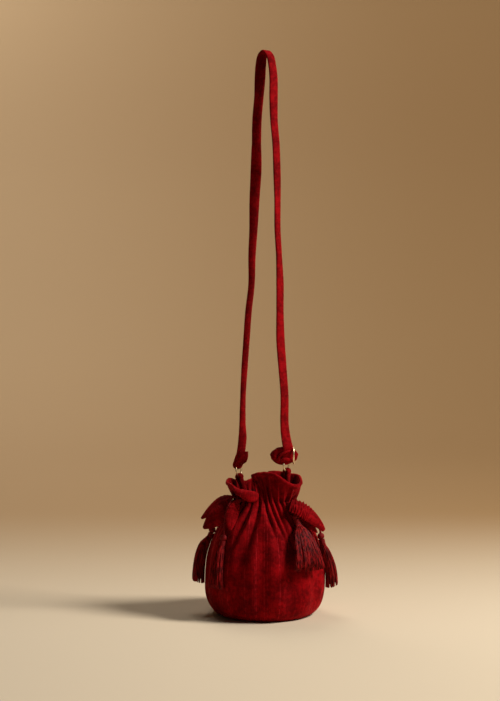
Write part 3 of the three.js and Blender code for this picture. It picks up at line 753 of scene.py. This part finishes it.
def drawstring(side):
    """A twisted cord: out of the neck, once round inside it, and out again beside itself."""
    out = exit_direction(side)
    along = np.cross(UP, out)
    spread = 1.95 * MM
    tail = KNOT_STANDOFF - math.sqrt(KNOT_RADIUS**2 - spread**2) + 1.5 * MM
    mouth = -1 * MM

    def beside(across, outward):
        return neck_oval(EXIT_ANGLE[side], 0, LEVEL[side]) + along * across + out * outward

    inside = 2.5 * MM - CHANNEL_INSET
    turn_in = 15
    steps = 24
    points = [beside(spread, tail), beside(spread, mouth), beside(spread + 0.3 * MM, inside)]
    for k in range(steps + 1):
        angle = EXIT_ANGLE[side] + turn_in + (360 - 2 * turn_in) * k / steps
        points.append(neck_oval(angle, CHANNEL_INSET, LEVEL[side]))
    points += [beside(-spread - 0.3 * MM, inside), beside(-spread, mouth), beside(-spread, tail)]
    line = resampled(through(points, 400), 0.7 * MM)
    cord = Piece()
    add_twisted(cord, line, DRAWSTRING, 6 * MM, UP)
    start = beside(0, mouth)
    end = beside(0, KNOT_STANDOFF - KNOT_RADIUS)
    body = ("pouch", side + "_pull", start, end)
    return cord.make(side + "_twisted_drawstring", body, [YARN], "twisted_cord", side + "_drawstring")


def drawstring_knot(side):
    """The drawstring's two ends tied in a round knot: one cord that loops through itself."""
    t = np.linspace(0, 2 * math.pi, 121)[:-1]
    x = np.sin(t) + 2 * np.sin(2 * t)
    y = np.cos(t) - 2 * np.cos(2 * t)
    z = -1.35 * np.sin(3 * t)
    out = exit_direction(side)
    frame_of_knot = np.array([np.cross(UP, out), UP, out])
    line = np.stack([x, y, z], axis=1) * (1.22 * MM) @ frame_of_knot + knot_centre(side)
    loop = np.concatenate([line, line[:1]])
    forward = unit(np.roll(line, -1, axis=0) - np.roll(line, 1, axis=0))
    wide = unit(np.cross(forward, line - knot_centre(side)))
    deep = np.cross(forward, wide)
    along = lengths(loop)[:-1]
    knot = Piece()
    ply = 1.25 * MM
    apart = 0.95 * MM
    turns = round(along[-1] / (7 * MM))
    for half_turn in (0, 0.5):
        a = 2 * math.pi * (turns * along / lengths(loop)[-1] + half_turn)
        strand = line + apart * (wide * np.cos(a)[:, None] + deep * np.sin(a)[:, None])
        knot.loft(oval_rings(strand, wide, deep, 2 * ply, 2 * ply, 8), joined=True)
    node = side + "_drawstring_knot"
    return knot.make(side + "_tied_knot", side + "_pull", [YARN], "twisted_cord", node)


def cord_channel():
    """The lining strip inside the neck that both drawstrings run in."""
    low, high = NECK_HEIGHT - CHANNEL_HALF_HEIGHT, NECK_HEIGHT + CHANNEL_HALF_HEIGHT
    lip = CHANNEL_INSET - CHANNEL_LIP
    back = CHANNEL_INSET + CHANNEL_BACK
    wall = CHANNEL_WALL
    corner = 0.4 * MM
    section = [
        (lip, low), (lip, low + wall), (back, low + wall), (back, high - wall), (lip, high - wall),
        (lip, high), (back + corner, high), (back + wall, high - corner), (back + wall, low + corner),
        (back + corner, low),
    ]
    count = 160
    rucks = 46
    angles = -360 * np.arange(count) / count
    ruck = 0.35 * MM * np.sin(np.radians(angles * rucks))
    rings = [neck_oval(angles, inset + (ruck if inset > back else 0), z) for inset, z in section]
    strip = Piece()
    strip.loft(np.stack(rings, axis=1), joined=True)
    return strip.make("cord_channel", "pouch", [LINING], "lining", "drawstring_channel")


# Rings, tabs and slider

RING_AXIS = unit(RIGHT_RING - LEFT_RING)
RING_ACROSS = unit(np.cross(UP, RING_AXIS))
RING_RISE = unit(np.cross(RING_AXIS, RING_ACROSS))
RING_LEVEL = unit(RING_AXIS * [1, 1, 0])
RING_MIDDLE = (RING_DIAMETER - RING_WIRE) / 2


def wire_loop(name, centre, half_along, half_up, wire, across, rise, body, node):
    """A bent wire loop, closed by a butt joint that shows as a fine groove."""
    bpy.ops.object.select_all(action="DESELECT")
    bpy.ops.curve.primitive_bezier_circle_add(radius=1)
    loop = bpy.context.object
    loop.data.resolution_u = 24
    loop.data.bevel_depth = wire / 2
    loop.data.bevel_resolution = 5
    loop.data.dimensions = "3D"
    for point in loop.data.splines[0].bezier_points:
        for part in ("co", "handle_left", "handle_right"):
            x, y, _ = getattr(point, part)
            setattr(point, part, centre + across * (x * half_along) + rise * (y * half_up))
    for point in loop.data.splines[0].bezier_points:
        point.handle_left_type = "FREE"
        point.handle_right_type = "FREE"
    bpy.ops.object.convert(target="MESH")
    bpy.ops.object.mode_set(mode="EDIT")
    bpy.ops.mesh.select_all(action="SELECT")
    bpy.ops.mesh.remove_doubles(threshold=wire * 0.01)
    bpy.ops.mesh.normals_make_consistent(inside=False)
    bpy.ops.mesh.select_all(action="DESELECT")
    bpy.ops.object.mode_set(mode="OBJECT")
    joint = centre - across * half_along
    for vertex in loop.data.vertices:
        vertex.select = bool(np.linalg.norm(np.array(vertex.co) - joint) < wire * 0.52)
    bpy.ops.object.mode_set(mode="EDIT")
    bpy.ops.transform.resize(value=(0.86, 0.86, 0.86), center_override=tuple(joint))
    bpy.ops.object.mode_set(mode="OBJECT")
    bpy.ops.object.shade_smooth()
    loop.name = name
    loop.data.materials.clear()
    loop.data.materials.append(GOLD)
    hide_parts(node)
    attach(loop, body)
    return loop


def ring_tab(side):
    """A velvet strip that comes up out of the neck, round the foot of the ring, and back down."""
    ring = LEFT_RING if side == "left" else RIGHT_RING
    inner = CHANNEL_INSET + CHANNEL_BACK + CHANNEL_WALL + TOUCHING_GAP + TAB_INSET
    foot = neck_oval(TAB_ANGLE[side], inner, NECK_HEIGHT - CHANNEL_HALF_HEIGHT)
    wire = ring - RING_RISE * RING_MIDDLE
    bend = RING_WIRE / 2 + TAB_OFF_WIRE
    apart = 1.4 * MM
    lean = 1.6 * MM

    def leg(sign, share):
        p = foot + (wire - foot) * share
        return p + RING_LEVEL * (sign * apart + lean * math.sin(math.pi * share))

    points = [leg(1, 0), leg(1, 0.35), leg(1, 0.7)]
    for a in np.radians((-30, 0, 45, 90, 135, 180, 210)):
        points.append(wire + RING_LEVEL * (bend * math.cos(a)) + UP * (bend * math.sin(a)))
    points += [leg(-1, 0.7), leg(-1, 0.35), leg(-1, 0)]
    line = resampled(through(points, 200), 0.6 * MM)
    along = lengths(line) / lengths(line)[-1]
    wide = unit(RING_ACROSS - tangents(line) * (tangents(line) @ RING_ACROSS)[:, None])
    deep = np.cross(tangents(line), wide)
    width = TAB_WIDTH - 2 * MM * (2 * along - 1) ** 2
    tab = Piece()
    tab.loft(oval_rings(line, wide, deep, width, TAB_THICKNESS, 24, 2.4))
    return tab.make(side + "_velvet_tab", "pouch", [PETAL_VELVET], "velvet", side + "_tab")


# Strap

# The strap's middle line from the left ring over the top to the right ring: shares of the way across
# and of the rise, and the turn of the strap's width in degrees
STRAP_ROUTE = (
    (0.045, 0.0434, 45), (0.085, 0.0802, 45), (0.085, 0.1141, 60), (0.096, 0.1816, 67),
    (0.128, 0.2491, 60), (0.170, 0.3164, 60), (0.212, 0.3836, 60), (0.276, 0.4505, 60),
    (0.286, 0.5173, 53), (0.318, 0.5838, 45), (0.338, 0.6502, 28), (0.370, 0.7164, 12),
    (0.380, 0.7825, 40), (0.390, 0.8391, 37), (0.432, 0.8953, 35), (0.453, 0.9375, 16),
    (0.470, 0.9680, 22), (0.505, 0.9900, 35), (0.575, 0.9990, 46), (0.655, 0.9900, 48),
    (0.705, 0.9660, 48), (0.732, 0.9362, 45), (0.733, 0.8940, 45), (0.743, 0.8378, 53),
    (0.785, 0.7813, 53), (0.806, 0.7155, 53), (0.817, 0.6495, 60), (0.818, 0.5835, 60),
    (0.850, 0.5174, 64), (0.871, 0.4512, 53), (0.871, 0.3848, 53), (0.882, 0.3183, 45),
    (0.925, 0.2519, 45), (0.967, 0.1854, 45), (0.967, 0.1186, 45), (0.999, 0.0853, 37),
)

# The strap's turned-up end and where it rises again behind, as steps from the top of the left ring's
# wire in millimetres: level through the ring, forward and up
STRAP_END = ((10.2, 3.4, 19.5), (10, 3.8, 12.5), (8, 3.6, 6.5), (4.2, 1.6, 2))
STRAP_RISES = ((-3.0, -1.6, 2), (-1.4, -2.6, 6.5), (1, -2, 11))

# The turn of the strap's width, in degrees, at each point of its end, of the bend round the ring's
# wire and of its rise
STRAP_END_TURNS = (20, 20, 26, 46, 62, 66, 66, 66, 64, 58, 54, 48)
STRAP_BEND = (-10, -50, -90, -130, -170)

# The size of the knot on the right ring, and the way into it: steps from its middle in millimetres,
# each with the turn of the strap's width
STRAP_KNOT = np.array([37, 17, 25.5]) * MM
INTO_KNOT = (((5, -4.6, 11), 28), ((7, -1.5, 3), 20))


def strap_knot_centre():
    """The middle of the knot, above the right ring."""
    return RIGHT_RING + np.array([-2.5 * MM, 0, RING_MIDDLE + STRAP_KNOT[2] * 0.22])


def strap_band():
    """The strap as one flat velvet tube: down from its cut end, through the left ring, over the top
    and down into the knot on the right ring."""
    wire = LEFT_RING + RING_RISE * RING_MIDDLE
    bend = RING_WIRE / 2 + STRAP_OFF_WIRE
    front = -RING_ACROSS

    def beside(level, forward, up):
        return wire + RING_LEVEL * (level * MM) + front * (forward * MM) + UP * (up * MM)

    points = [beside(*step) for step in STRAP_END]
    for a in np.radians(STRAP_BEND):
        points.append(wire + RING_LEVEL * (bend * math.cos(a)) + UP * (bend * math.sin(a)))
    points += [beside(*step) for step in STRAP_RISES]
    turns = list(STRAP_END_TURNS)
    for across, up, turn in STRAP_ROUTE:
        p = LEFT_RING + (RIGHT_RING - LEFT_RING) * across
        points.append(np.array([p[0], p[1], LEFT_RING[2] + STRAP_RISE * up]))
        turns.append(turn)
    for step, turn in INTO_KNOT:
        points.append(strap_knot_centre() + np.array(step) * MM)
        turns.append(turn)
    steps = 10
    count = (len(points) - 1) * steps + 1
    line = through(points, count)
    at = np.arange(count) / steps
    turn = np.radians(np.interp(at, np.arange(len(points)), turns))
    forward = tangents(line)
    wide = np.stack([np.cos(turn), np.sin(turn), np.zeros(count)], axis=1)
    wide = unit(wide - forward * (wide * forward).sum(1)[:, None])
    deep = np.cross(forward, wide)
    along = lengths(line)
    fold_middle = len(STRAP_END) + len(STRAP_BEND) // 2
    pinch = np.exp(-(((at - fold_middle) / 2.4) ** 2))
    width = STRAP_WIDTH * (1 - 0.36 * pinch - 0.12 * smooth(1 - at / 3))
    width = width + 0.5 * MM * np.sin(along / (23 * MM)) * np.sin(along / (61 * MM))
    thickness = STRAP_THICKNESS * (1 + 0.05 * pinch) + 0.35 * MM * np.sin(along / (17 * MM) + 1)
    thickness = thickness * (1 - 0.45 * smooth(at - (len(points) - 2.2)))
    strap = Piece()
    strap.loft(oval_rings(line, wide, deep, width, thickness, 30, 2.6))
    return strap


# The wraps of the strap's knot: the width and depth of each, and its line as steps from the knot's
# middle, all in millimetres
KNOT_WRAPS = (
    (8.6, 8.4, (
        (9, -2.5, 9), (3, -3, 8.6), (-4, -3, 7.6), (-10, -2.6, 4.4), (-12.8, -2.4, -0.6),
        (-9.6, -2.6, -5.4), (-3.4, -3, -8), (3.6, -3.2, -8), (9, -2.6, -5.6), (12.4, -1.4, -2),
    )),
    (8.2, 8.6, (
        (9, 2.5, 7), (2, 3, 8.8), (-6, 3, 6.4), (-12, 2.4, 1.4), (-10.6, 2.6, -4), (-4, 3, -7.6),
        (4, 3.2, -8.2), (10, 2.4, -5),
    )),
    (3.6, 3.8, (
        (-7.6, -6.2, -5.4), (-7.4, -7, -1.6), (-4.6, -7.6, 1.8), (0, -7.6, 4.4), (5, -6.6, 6.4),
        (8, -5, 7.4),
    )),
    (5.4, 4.4, ((-4.6, -5.8, -6), (0, -6.8, -4.8), (5, -6.4, -4.8), (9, -5, -6))),
    (5.2, 4.4, ((-5, 6, 0.6), (0, 7, 2), (5, 6.8, 0.6), (10, 5, -2))),
)


def add_knot(strap):
    """Adds the strap's right end: a padded middle, and wraps that are wound over it."""
    centre = strap_knot_centre()
    padding = STRAP_KNOT * (0.5, 0.29, 0.46)
    rows, sides = 40, 72
    a = np.arange(sides) * 2 * math.pi / sides
    rings = []
    for i in range(rows + 1):
        lat = math.pi * (i / rows - 0.5) * 0.99
        flat = math.cos(lat) ** 0.9
        pucker = 1 + 0.02 * np.sin(7 * a + 4 * lat) + 0.012 * np.sin(13 * a - 6 * lat)
        x = flat * np.cos(a) * pucker * padding[0]
        z = flat * np.sin(a) * pucker * padding[2]
        y = np.full(sides, math.sin(lat) * padding[1])
        rings.append(centre + np.stack([x, y, z], axis=1))
    strap.loft(np.array(rings[::-1]))
    for width, depth, steps in KNOT_WRAPS:
        line = resampled(through(centre + np.array(steps) * MM, 160), 0.7 * MM)
        share = lengths(line) / lengths(line)[-1]
        ends = 0.35 + 0.65 * np.sin(np.pi * np.clip(share, 0.02, 0.98)) ** 0.4
        deep = np.tile([0.0, -1.0, 0.0], (len(line), 1))
        deep = unit(deep - tangents(line) * (deep * tangents(line)).sum(1)[:, None])
        wide = np.cross(deep, tangents(line))
        creased = 1 + 0.05 * np.sin(share * 23) + 0.03 * np.sin(share * 57)
        across = width * MM * ends * creased
        strap.loft(oval_rings(line, wide, deep, across, depth * MM * ends, 24, 2.3))


def carrying_strap():
    """The whole strap, from its cut end to its knot."""
    strap = strap_band()
    add_knot(strap)
    return strap.make("velvet_strap", "strap", [STRAP_VELVET], "velvet", "carry_strap")


def strap_slider():
    """The slim gold slider round the knot's right end."""
    narrowing = math.sqrt(1 - (SLIDER_OFFSET / (STRAP_KNOT[0] / 2)) ** 2)
    _, deep, high = STRAP_KNOT / 2 * narrowing + TOUCHING_GAP + SLIDER_WIRE / 2
    centre = strap_knot_centre() + np.array([SLIDER_OFFSET, 0, 0])
    back = np.array([0.0, 1.0, 0.0])
    return wire_loop("gold_slider", centre, deep, high, SLIDER_WIRE, back, UP, "strap", "strap_slider")


# Petals

# Petals: the side whose knot each is sewn to, its line as steps from that knot in millimetres, its
# widest width, the way that it faces, how far it curls, how deep its ruches are, and the stretch of
# a half wave that its outline takes from root to tip
PETALS = {
    "petal_left_front": {
        "side": "left",
        "line": ((1.6, -9, 3), (-3.2, -14.5, -8), (-7, -19, -20), (-8.8, -24, -35)),
        "width": 17, "face": (0.3, -0.9, 0.3), "curl": 0.15, "ruched": 0.4, "root": 0.06, "tip": 0.95,
    },
    "petal_left_upper": {
        "side": "left",
        "line": ((-5.4, -0.4, 3.4), (-18.6, 4.9, 0.4), (-32.6, 10.9, -10.6), (-47.6, 17.9, -25.6)),
        "width": 22, "face": (-0.3, -0.6, 0.75), "curl": 0.2, "ruched": 0.4, "root": 0.14, "tip": 0.97,
    },
    "petal_left_lower": {
        "side": "left",
        "line": ((-4.8, -1, -4.4), (-17, -5, -12.6), (-30.6, -3.5, -22.6), (-44.6, 5, -36.6)),
        "width": 26, "face": (-0.2, -0.85, 0.4), "curl": 0.2, "ruched": 0.4, "root": 0.14, "tip": 0.97,
    },
    "petal_right_upper": {
        "side": "right",
        "line": (
            (-3.6, -8.6, 0.6), (7.6, -9.6, -2.8), (19.2, -9.8, -10.4), (29.1, -8.8, -19.5),
            (37.1, -6.8, -28.5), (41, -4.8, -34.5),
        ),
        "width": 25, "face": (0.3, -0.65, 0.7), "curl": 0.3, "ruched": 1.4, "root": 0.3, "tip": 0.935,
    },
    "petal_right_lower": {
        "side": "right",
        "line": (
            (5, -0.6, -4.2), (11, -2.8, -14.6), (19, -3, -24.4), (27.5, -0.8, -32.7),
            (31.9, 2.2, -39),
        ),
        "width": 13, "face": (0.4, -0.6, 0.6), "curl": 0.3, "ruched": 0.2, "root": 0.06, "tip": 0.97,
    },
}


def petal(name, spec):
    """A leaf of folded velvet: sewn on narrow, puffed between its seamed edges, pointed at its tip.
    The part next to the knot is drawn up in fine ruches."""
    knot = knot_centre(spec["side"])
    points = [knot + np.array(step) * MM for step in spec["line"]]
    rows, sides = 90, 56
    share = np.linspace(0, 1, rows)
    line = resampled(through(points, 240), 0.4 * MM)
    line = read_at(share, np.linspace(0, 1, len(line)), line)
    forward = tangents(line)
    across = unit(np.cross(np.array(spec["face"]), forward))
    out = np.cross(forward, across)
    t = share[:, None]
    outline = np.sin(np.pi * (spec["root"] + (spec["tip"] - spec["root"]) * t)) ** 0.8
    half = spec["width"] * MM / 2 * outline
    thick = PETAL_THICKNESS * (0.55 + 1.7 * t * (1 - t))
    a = np.arange(sides)[None, :] * 2 * math.pi / sides
    s = np.cos(a)
    face = np.sin(a)
    puff = np.sign(face) * np.abs(face) ** 0.75
    seam = np.exp(-(((np.abs(s) - 0.86) / 0.06) ** 2))
    vein = np.exp(-((s / 0.13) ** 2)) * np.sign(face)
    along = lengths(line)[:, None]
    ruching = spec["ruched"] * smooth((0.66 - t) / 0.3) * smooth(t / 0.08)
    uneven = along + 1.1 * MM * np.sin(along / (2.9 * MM) + 2.6 * s)
    wave = np.sin(2 * np.pi * uneven / (3.4 * MM) + 3.1 * s + 2.2 * np.sin(2 * s))
    wave = wave + 0.7 * np.sin(2 * np.pi * uneven / (5.3 * MM) - 4.0 * s)
    level = thick / 2 * puff * (1 - 0.35 * seam) - thick * 0.16 * vein
    level = level + 0.75 * MM * wave * ruching * (0.4 + 0.6 * np.abs(s)) * np.sign(face)
    level = level - spec["curl"] * half * (s**2 - 0.3)
    reach = half * s * (1 + 0.06 * ruching * np.sin(along / (0.7 * MM)))
    rings = line[:, None] + across[:, None] * reach[..., None] + out[:, None] * level[..., None]
    leaf = Piece()
    leaf.loft(rings)
    return leaf.make(name + "_leaf", spec["side"] + "_pull", [PETAL_VELVET], "velvet", name)


# Tassels

# Tassels: the side whose knot the cord leaves, the angle round the bag and the share of the neck's
# height of the tassel's own knot and of its skirt's foot, the foot's width and thickness in
# millimetres, how soon the skirt opens (a lower power opens sooner), the way that the cord leaves,
# and how many threads hang in the skirt
TASSELS = {
    "tassel_right_front": {
        "side": "right", "knot": (312, 0.885), "foot": (311, 0.464), "width": 50, "thickness": 17,
        "opening": 0.42, "leaves": (-0.6, -4.4, -4.4), "threads": 620,
    },
    "tassel_right_side": {
        "side": "right", "knot": (347, 0.693), "foot": (353, 0.255), "width": 19, "thickness": 16,
        "opening": 0.7, "leaves": (5.5, 2.7, -0.9), "threads": 320,
    },
    "tassel_left_front": {
        "side": "left", "knot": (219.5, 0.706), "foot": (222, 0.288), "width": 24, "thickness": 14,
        "opening": 0.7, "leaves": (-3.8, -4.8, 1.4), "threads": 340,
    },
    "tassel_left_side": {
        "side": "left", "knot": (178, 0.73), "foot": (179, 0.281), "width": 25, "thickness": 17,
        "opening": 0.4, "leaves": (-4.2, 4.6, -1), "threads": 360,
    },
}


def tassel_ends(spec):
    """Where a tassel's cord leaves, the way it leaves, its knot, and the foot of its skirt."""
    side = spec["side"]
    away = unit(np.array(spec["leaves"], float))
    start = knot_centre(side) + away * (KNOT_RADIUS + TOUCHING_GAP)
    standoff = {"right": 2.5 * MM, "left": 0}[side] + TASSEL_STANDOFF
    angle, share = spec["knot"]
    ball = body_point(angle, share * NECK_HEIGHT, standoff + TASSEL_KNOT_RADIUS)
    angle, share = spec["foot"]
    end = body_point(angle, share * NECK_HEIGHT, TASSEL_STANDOFF + spec["thickness"] * MM / 2)
    return away, start, ball, end


def tassel_cord(name, spec):
    """The twisted cord from a drawstring's knot to the tassel."""
    away, start, ball, end = tassel_ends(spec)
    hang = unit(unit(ball - end) * 0.5 + UP * 0.5)
    stop = ball + hang * (TASSEL_KNOT_RADIUS - 0.4 * MM)
    begin = start - away * (2 * MM)
    free = np.linalg.norm(stop - start)
    leaving, coming = start + away * free * 0.35, stop + hang * free * 0.35
    t = np.linspace(0, 1, 120)[:, None]
    curve = (1 - t) ** 3 * begin + 3 * (1 - t) ** 2 * t * leaving
    curve = curve + 3 * (1 - t) * t**2 * coming + t**3 * stop
    line = resampled(curve, 0.6 * MM)
    cord = Piece()
    add_twisted(cord, line, TASSEL_CORD, 5.6 * MM, np.cross(away, [0.3, 0.5, 0.8]))
    made = cord.make(name + "_twist", name, [YARN], "twisted_cord", name + "_cord")
    return made


WRAPS = 6
WRAPPED_LENGTH = 6.2 * MM
WRAP_YARN = 1.15 * MM


def tassel_head(name, spec):
    """The round head: yarn wound over and over, and the tight wraps that bind the threads below."""
    _, _, ball, end = tassel_ends(spec)
    down = unit(end - ball)
    side = unit(np.cross(down, [0.2, 0.9, 0.1]))
    other = np.cross(down, side)
    rows, sides = 34, 72
    rings = []
    for i in range(rows + 1):
        lat = math.pi * (i / rows - 0.5) * 0.985
        a = np.arange(sides) * 2 * math.pi / sides
        winding = 1 + 0.035 * np.cos(14 * a + 5 * lat) * math.cos(lat) ** 0.5
        r = TASSEL_KNOT_RADIUS * math.cos(lat) * winding
        centre = ball + down * (TASSEL_KNOT_RADIUS * 1.02 * math.sin(lat))
        rings.append(centre + side * (r * np.cos(a))[:, None] + other * (r * np.sin(a))[:, None])
    head = Piece()
    head.loft(np.array(rings))
    t = np.linspace(0, 1, 200)
    a = 2 * math.pi * WRAPS * t
    wrap_radius = TASSEL_NECK_RADIUS + 0.25 * MM
    centre = ball + down * (TASSEL_KNOT_RADIUS * 0.95)
    wraps = (
        centre
        + down * (t * WRAPPED_LENGTH)[:, None]
        + side * (wrap_radius * np.cos(a))[:, None]
        + other * (wrap_radius * np.sin(a))[:, None]
    )
    wide = carried(wraps, down)
    deep = np.cross(tangents(wraps), wide)
    head.loft(oval_rings(wraps, wide, deep, WRAP_YARN, WRAP_YARN, 6))
    return head.make(name + "_head", name, [YARN], "twisted_cord", name + "_knot")


def skirt_frame(spec, share):
    """The middle of the skirt at a share of its length, its two half widths and their directions."""
    _, _, ball, end = tassel_ends(spec)
    down = unit(end - ball)
    start = ball + down * (TASSEL_KNOT_RADIUS + TOUCHING_GAP)
    bound = TASSEL_NECK_RADIUS
    opened = max(0, (share - BOUND_SHARE) / (1 - BOUND_SHARE))
    w = bound + (spec["width"] * MM / 2 - bound) * opened ** spec["opening"]
    d = bound + (spec["thickness"] * MM / 2 - bound) * opened ** (spec["opening"] / 2)
    angle = spec["knot"][0] + turn_between(spec["foot"][0], spec["knot"][0]) * share
    z = start[2] + (end[2] - start[2]) * share
    out = oval_normal(angle, 1, 1)
    rest = body_point(angle, z, TASSEL_STANDOFF + d)
    hung = start + (end - start) * share
    p = hung if hung.dot(out) > rest.dot(out) else rest
    wide = unit(np.cross(out, down))
    return p, wide, np.cross(down, wide), w, d


def tassel_skirt(name, spec, chance):
    """The skirt: a core of packed threads, and loose threads over it that fan out and end unevenly."""
    shares = np.linspace(0, 1, 15)
    frames = [skirt_frame(spec, t) for t in shares]
    middle, wide, deep, w, d = (np.array(part) for part in zip(*frames))
    skirt = Piece()
    core = slice(0, len(shares) - 1)
    a = np.arange(40) * 2 * math.pi / 40
    fluted = 0.8 * (1 + 0.05 * np.sin(9 * a) + 0.03 * np.sin(23 * a))
    rings = (
        middle[core, None]
        + wide[core, None] * (w[core, None] * np.cos(a) * fluted)[..., None]
        + deep[core, None] * (d[core, None] * np.sin(a) * fluted)[..., None]
    )
    skirt.loft(rings)
    clumps = 26
    clump_at = chance.uniform(0, 2 * math.pi, clumps)
    for _ in range(spec["threads"]):
        at = chance.uniform(0, 2 * math.pi)
        nearest = clump_at[np.argmin(np.abs(np.angle(np.exp(1j * (clump_at - at)))))]
        off = np.angle(np.exp(1j * (nearest - at)))
        lean = off * 0.5
        radius = chance.uniform(0.8, 0.96) + 0.09 * math.exp(-((off / 0.09) ** 2))
        length = chance.uniform(0.95, 1.03)
        wave = chance.uniform(0.2, 0.8) * MM
        phase = chance.uniform(0, 2 * math.pi)
        here = shares * min(length, 1)
        angle = at + lean * here + 0.05 * np.sin(6 * here + phase)
        hung, sideways, outward = (read_at(here, shares, rows) for rows in (middle, wide, deep))
        across = np.interp(here, shares, w) * radius * np.cos(angle)
        through_skirt = np.interp(here, shares, d) * radius * np.sin(angle)
        line = hung + sideways * across[:, None] + outward * through_skirt[:, None]
        line = line + sideways * (wave * here * np.sin(9 * here + phase))[:, None]
        line[-1] += (line[-1] - line[-2]) * max(length - 1, 0) * 6
        side = carried(line, outward[0])
        thread = chance.uniform(0.34, 0.5) * MM * 2
        skirt.loft(oval_rings(line, side, np.cross(tangents(line), side), thread, thread, 4))
    return skirt.make(name + "_threads", name, [THREAD], "tassel_thread", name + "_skirt")


# Floor, backdrop and lamps

# The floor's profile from in front of the camera up the backdrop: back and up, in metres
FLOOR_PROFILE = (
    (-9.0, 0.0), (0.6, 0.0), (1.4, 0.0), (1.9, 0.06), (2.25, 0.25), (2.45, 0.6), (2.5, 1.2), (2.5, 4.5),
)
FLOOR_HALF_WIDTH = 8


def studio():
    """A pale floor that curves up into a backdrop. Its paper darkens up the backdrop and towards the
    right as painted shade.
    """
    line = through([(0, y, z) for y, z in FLOOR_PROFILE], 60)
    points, faces = [], []
    for _, y, z in line:
        points += [(-FLOOR_HALF_WIDTH, y, z), (FLOOR_HALF_WIDTH, y, z)]
    for i in range(len(line) - 1):
        faces.append((2 * i, 2 * i + 1, 2 * i + 3, 2 * i + 2))
    mesh = bpy.data.meshes.new("studio_floor")
    mesh.from_pydata(points, [], faces)
    mesh.polygons.foreach_set("use_smooth", [True] * len(faces))
    floor = bpy.data.objects.new("studio_floor", mesh)
    bpy.context.scene.collection.objects.link(floor)
    finish = Finish("studio_paper", roughness=0.95, specular_ior_level=0.0)
    at = finish.node("ShaderNodeTexCoord", {}, (), "Object")
    across = finish.node("ShaderNodeSeparateXYZ", {}, [at], 0)
    distance = finish.node("ShaderNodeSeparateXYZ", {}, [at], 1)
    # Painted shade: the paper's colour darkens from the pale floor up the backdrop, and from left to
    # right across it. This stands in for light falling off towards the back and the right.
    far = finish.ramp(distance, -0.15, 0.95)
    backdrop = finish.mix(finish.ramp(across, -0.8, 0.7), shade(174, 145, 110), shade(152, 121, 84))
    finish.set("Base Color", finish.mix(far, shade(212, 195, 169), backdrop))
    mesh.materials.append(finish.material)


def lamp(name, place, aim, size, power, colour):
    """A round soft lamp at a place, turned to what it lights."""
    data = bpy.data.lights.new(name, "AREA")
    data.shape = "DISK"
    data.size = size
    data.energy = power
    data.color = colour
    made = bpy.data.objects.new(name, data)
    made.location = place
    direction = np.array(aim) - np.array(place)
    made.rotation_euler = Vector(direction).to_track_quat("-Z", "Y").to_euler()
    bpy.context.scene.collection.objects.link(made)


def lamps():
    """A key light from the right and the front, a soft one from above and behind, and two for the
    backdrop."""
    lamp("key", (2.1, -0.54, 2.15), (0, 0, 0.2), 0.95, 112, (1, 0.97, 0.92))
    lamp("top", (-0.4, 1.2, 2.2), (-0.2, 0, 0), 1.3, 14, (1, 0.97, 0.93))
    lamp("backdrop_light", (-1.4, 1.7, 1.8), (-1.15, 2.5, 1.4), 0.6, 17, (0.92, 0.97, 1))
    lamp("backdrop_wash", (0.3, 1.0, 2.6), (0, 2.5, 0.4), 1.8, 6, (1, 0.97, 0.92))
    world = bpy.data.worlds.new("studio")
    world.use_nodes = True
    world.node_tree.nodes["Background"].inputs["Color"].default_value = (1, 0.97, 0.93, 1)
    world.node_tree.nodes["Background"].inputs["Strength"].default_value = 0.02
    bpy.context.scene.world = world


studio()
lamps()
pouch_wall()
base_disc()
cord_channel()
for side in ("left", "right"):
    drawstring(side)
    drawstring_knot(side)
    ring_tab(side)
    ring = LEFT_RING if side == "left" else RIGHT_RING
    wire_loop(
        side + "_gold_ring", ring, RING_MIDDLE, RING_MIDDLE, RING_WIRE, RING_ACROSS, RING_RISE,
        side + "_ring", side + "_ring",
    )
carrying_strap()
strap_slider()
for name, spec in PETALS.items():
    petal(name, spec)
chance = np.random.default_rng(7)
for name, spec in TASSELS.items():
    tassel_cord(name, spec)
    tassel_head(name, spec)
    tassel_skirt(name, spec, chance)

bpy.context.scene.view_settings.view_transform = "Standard"
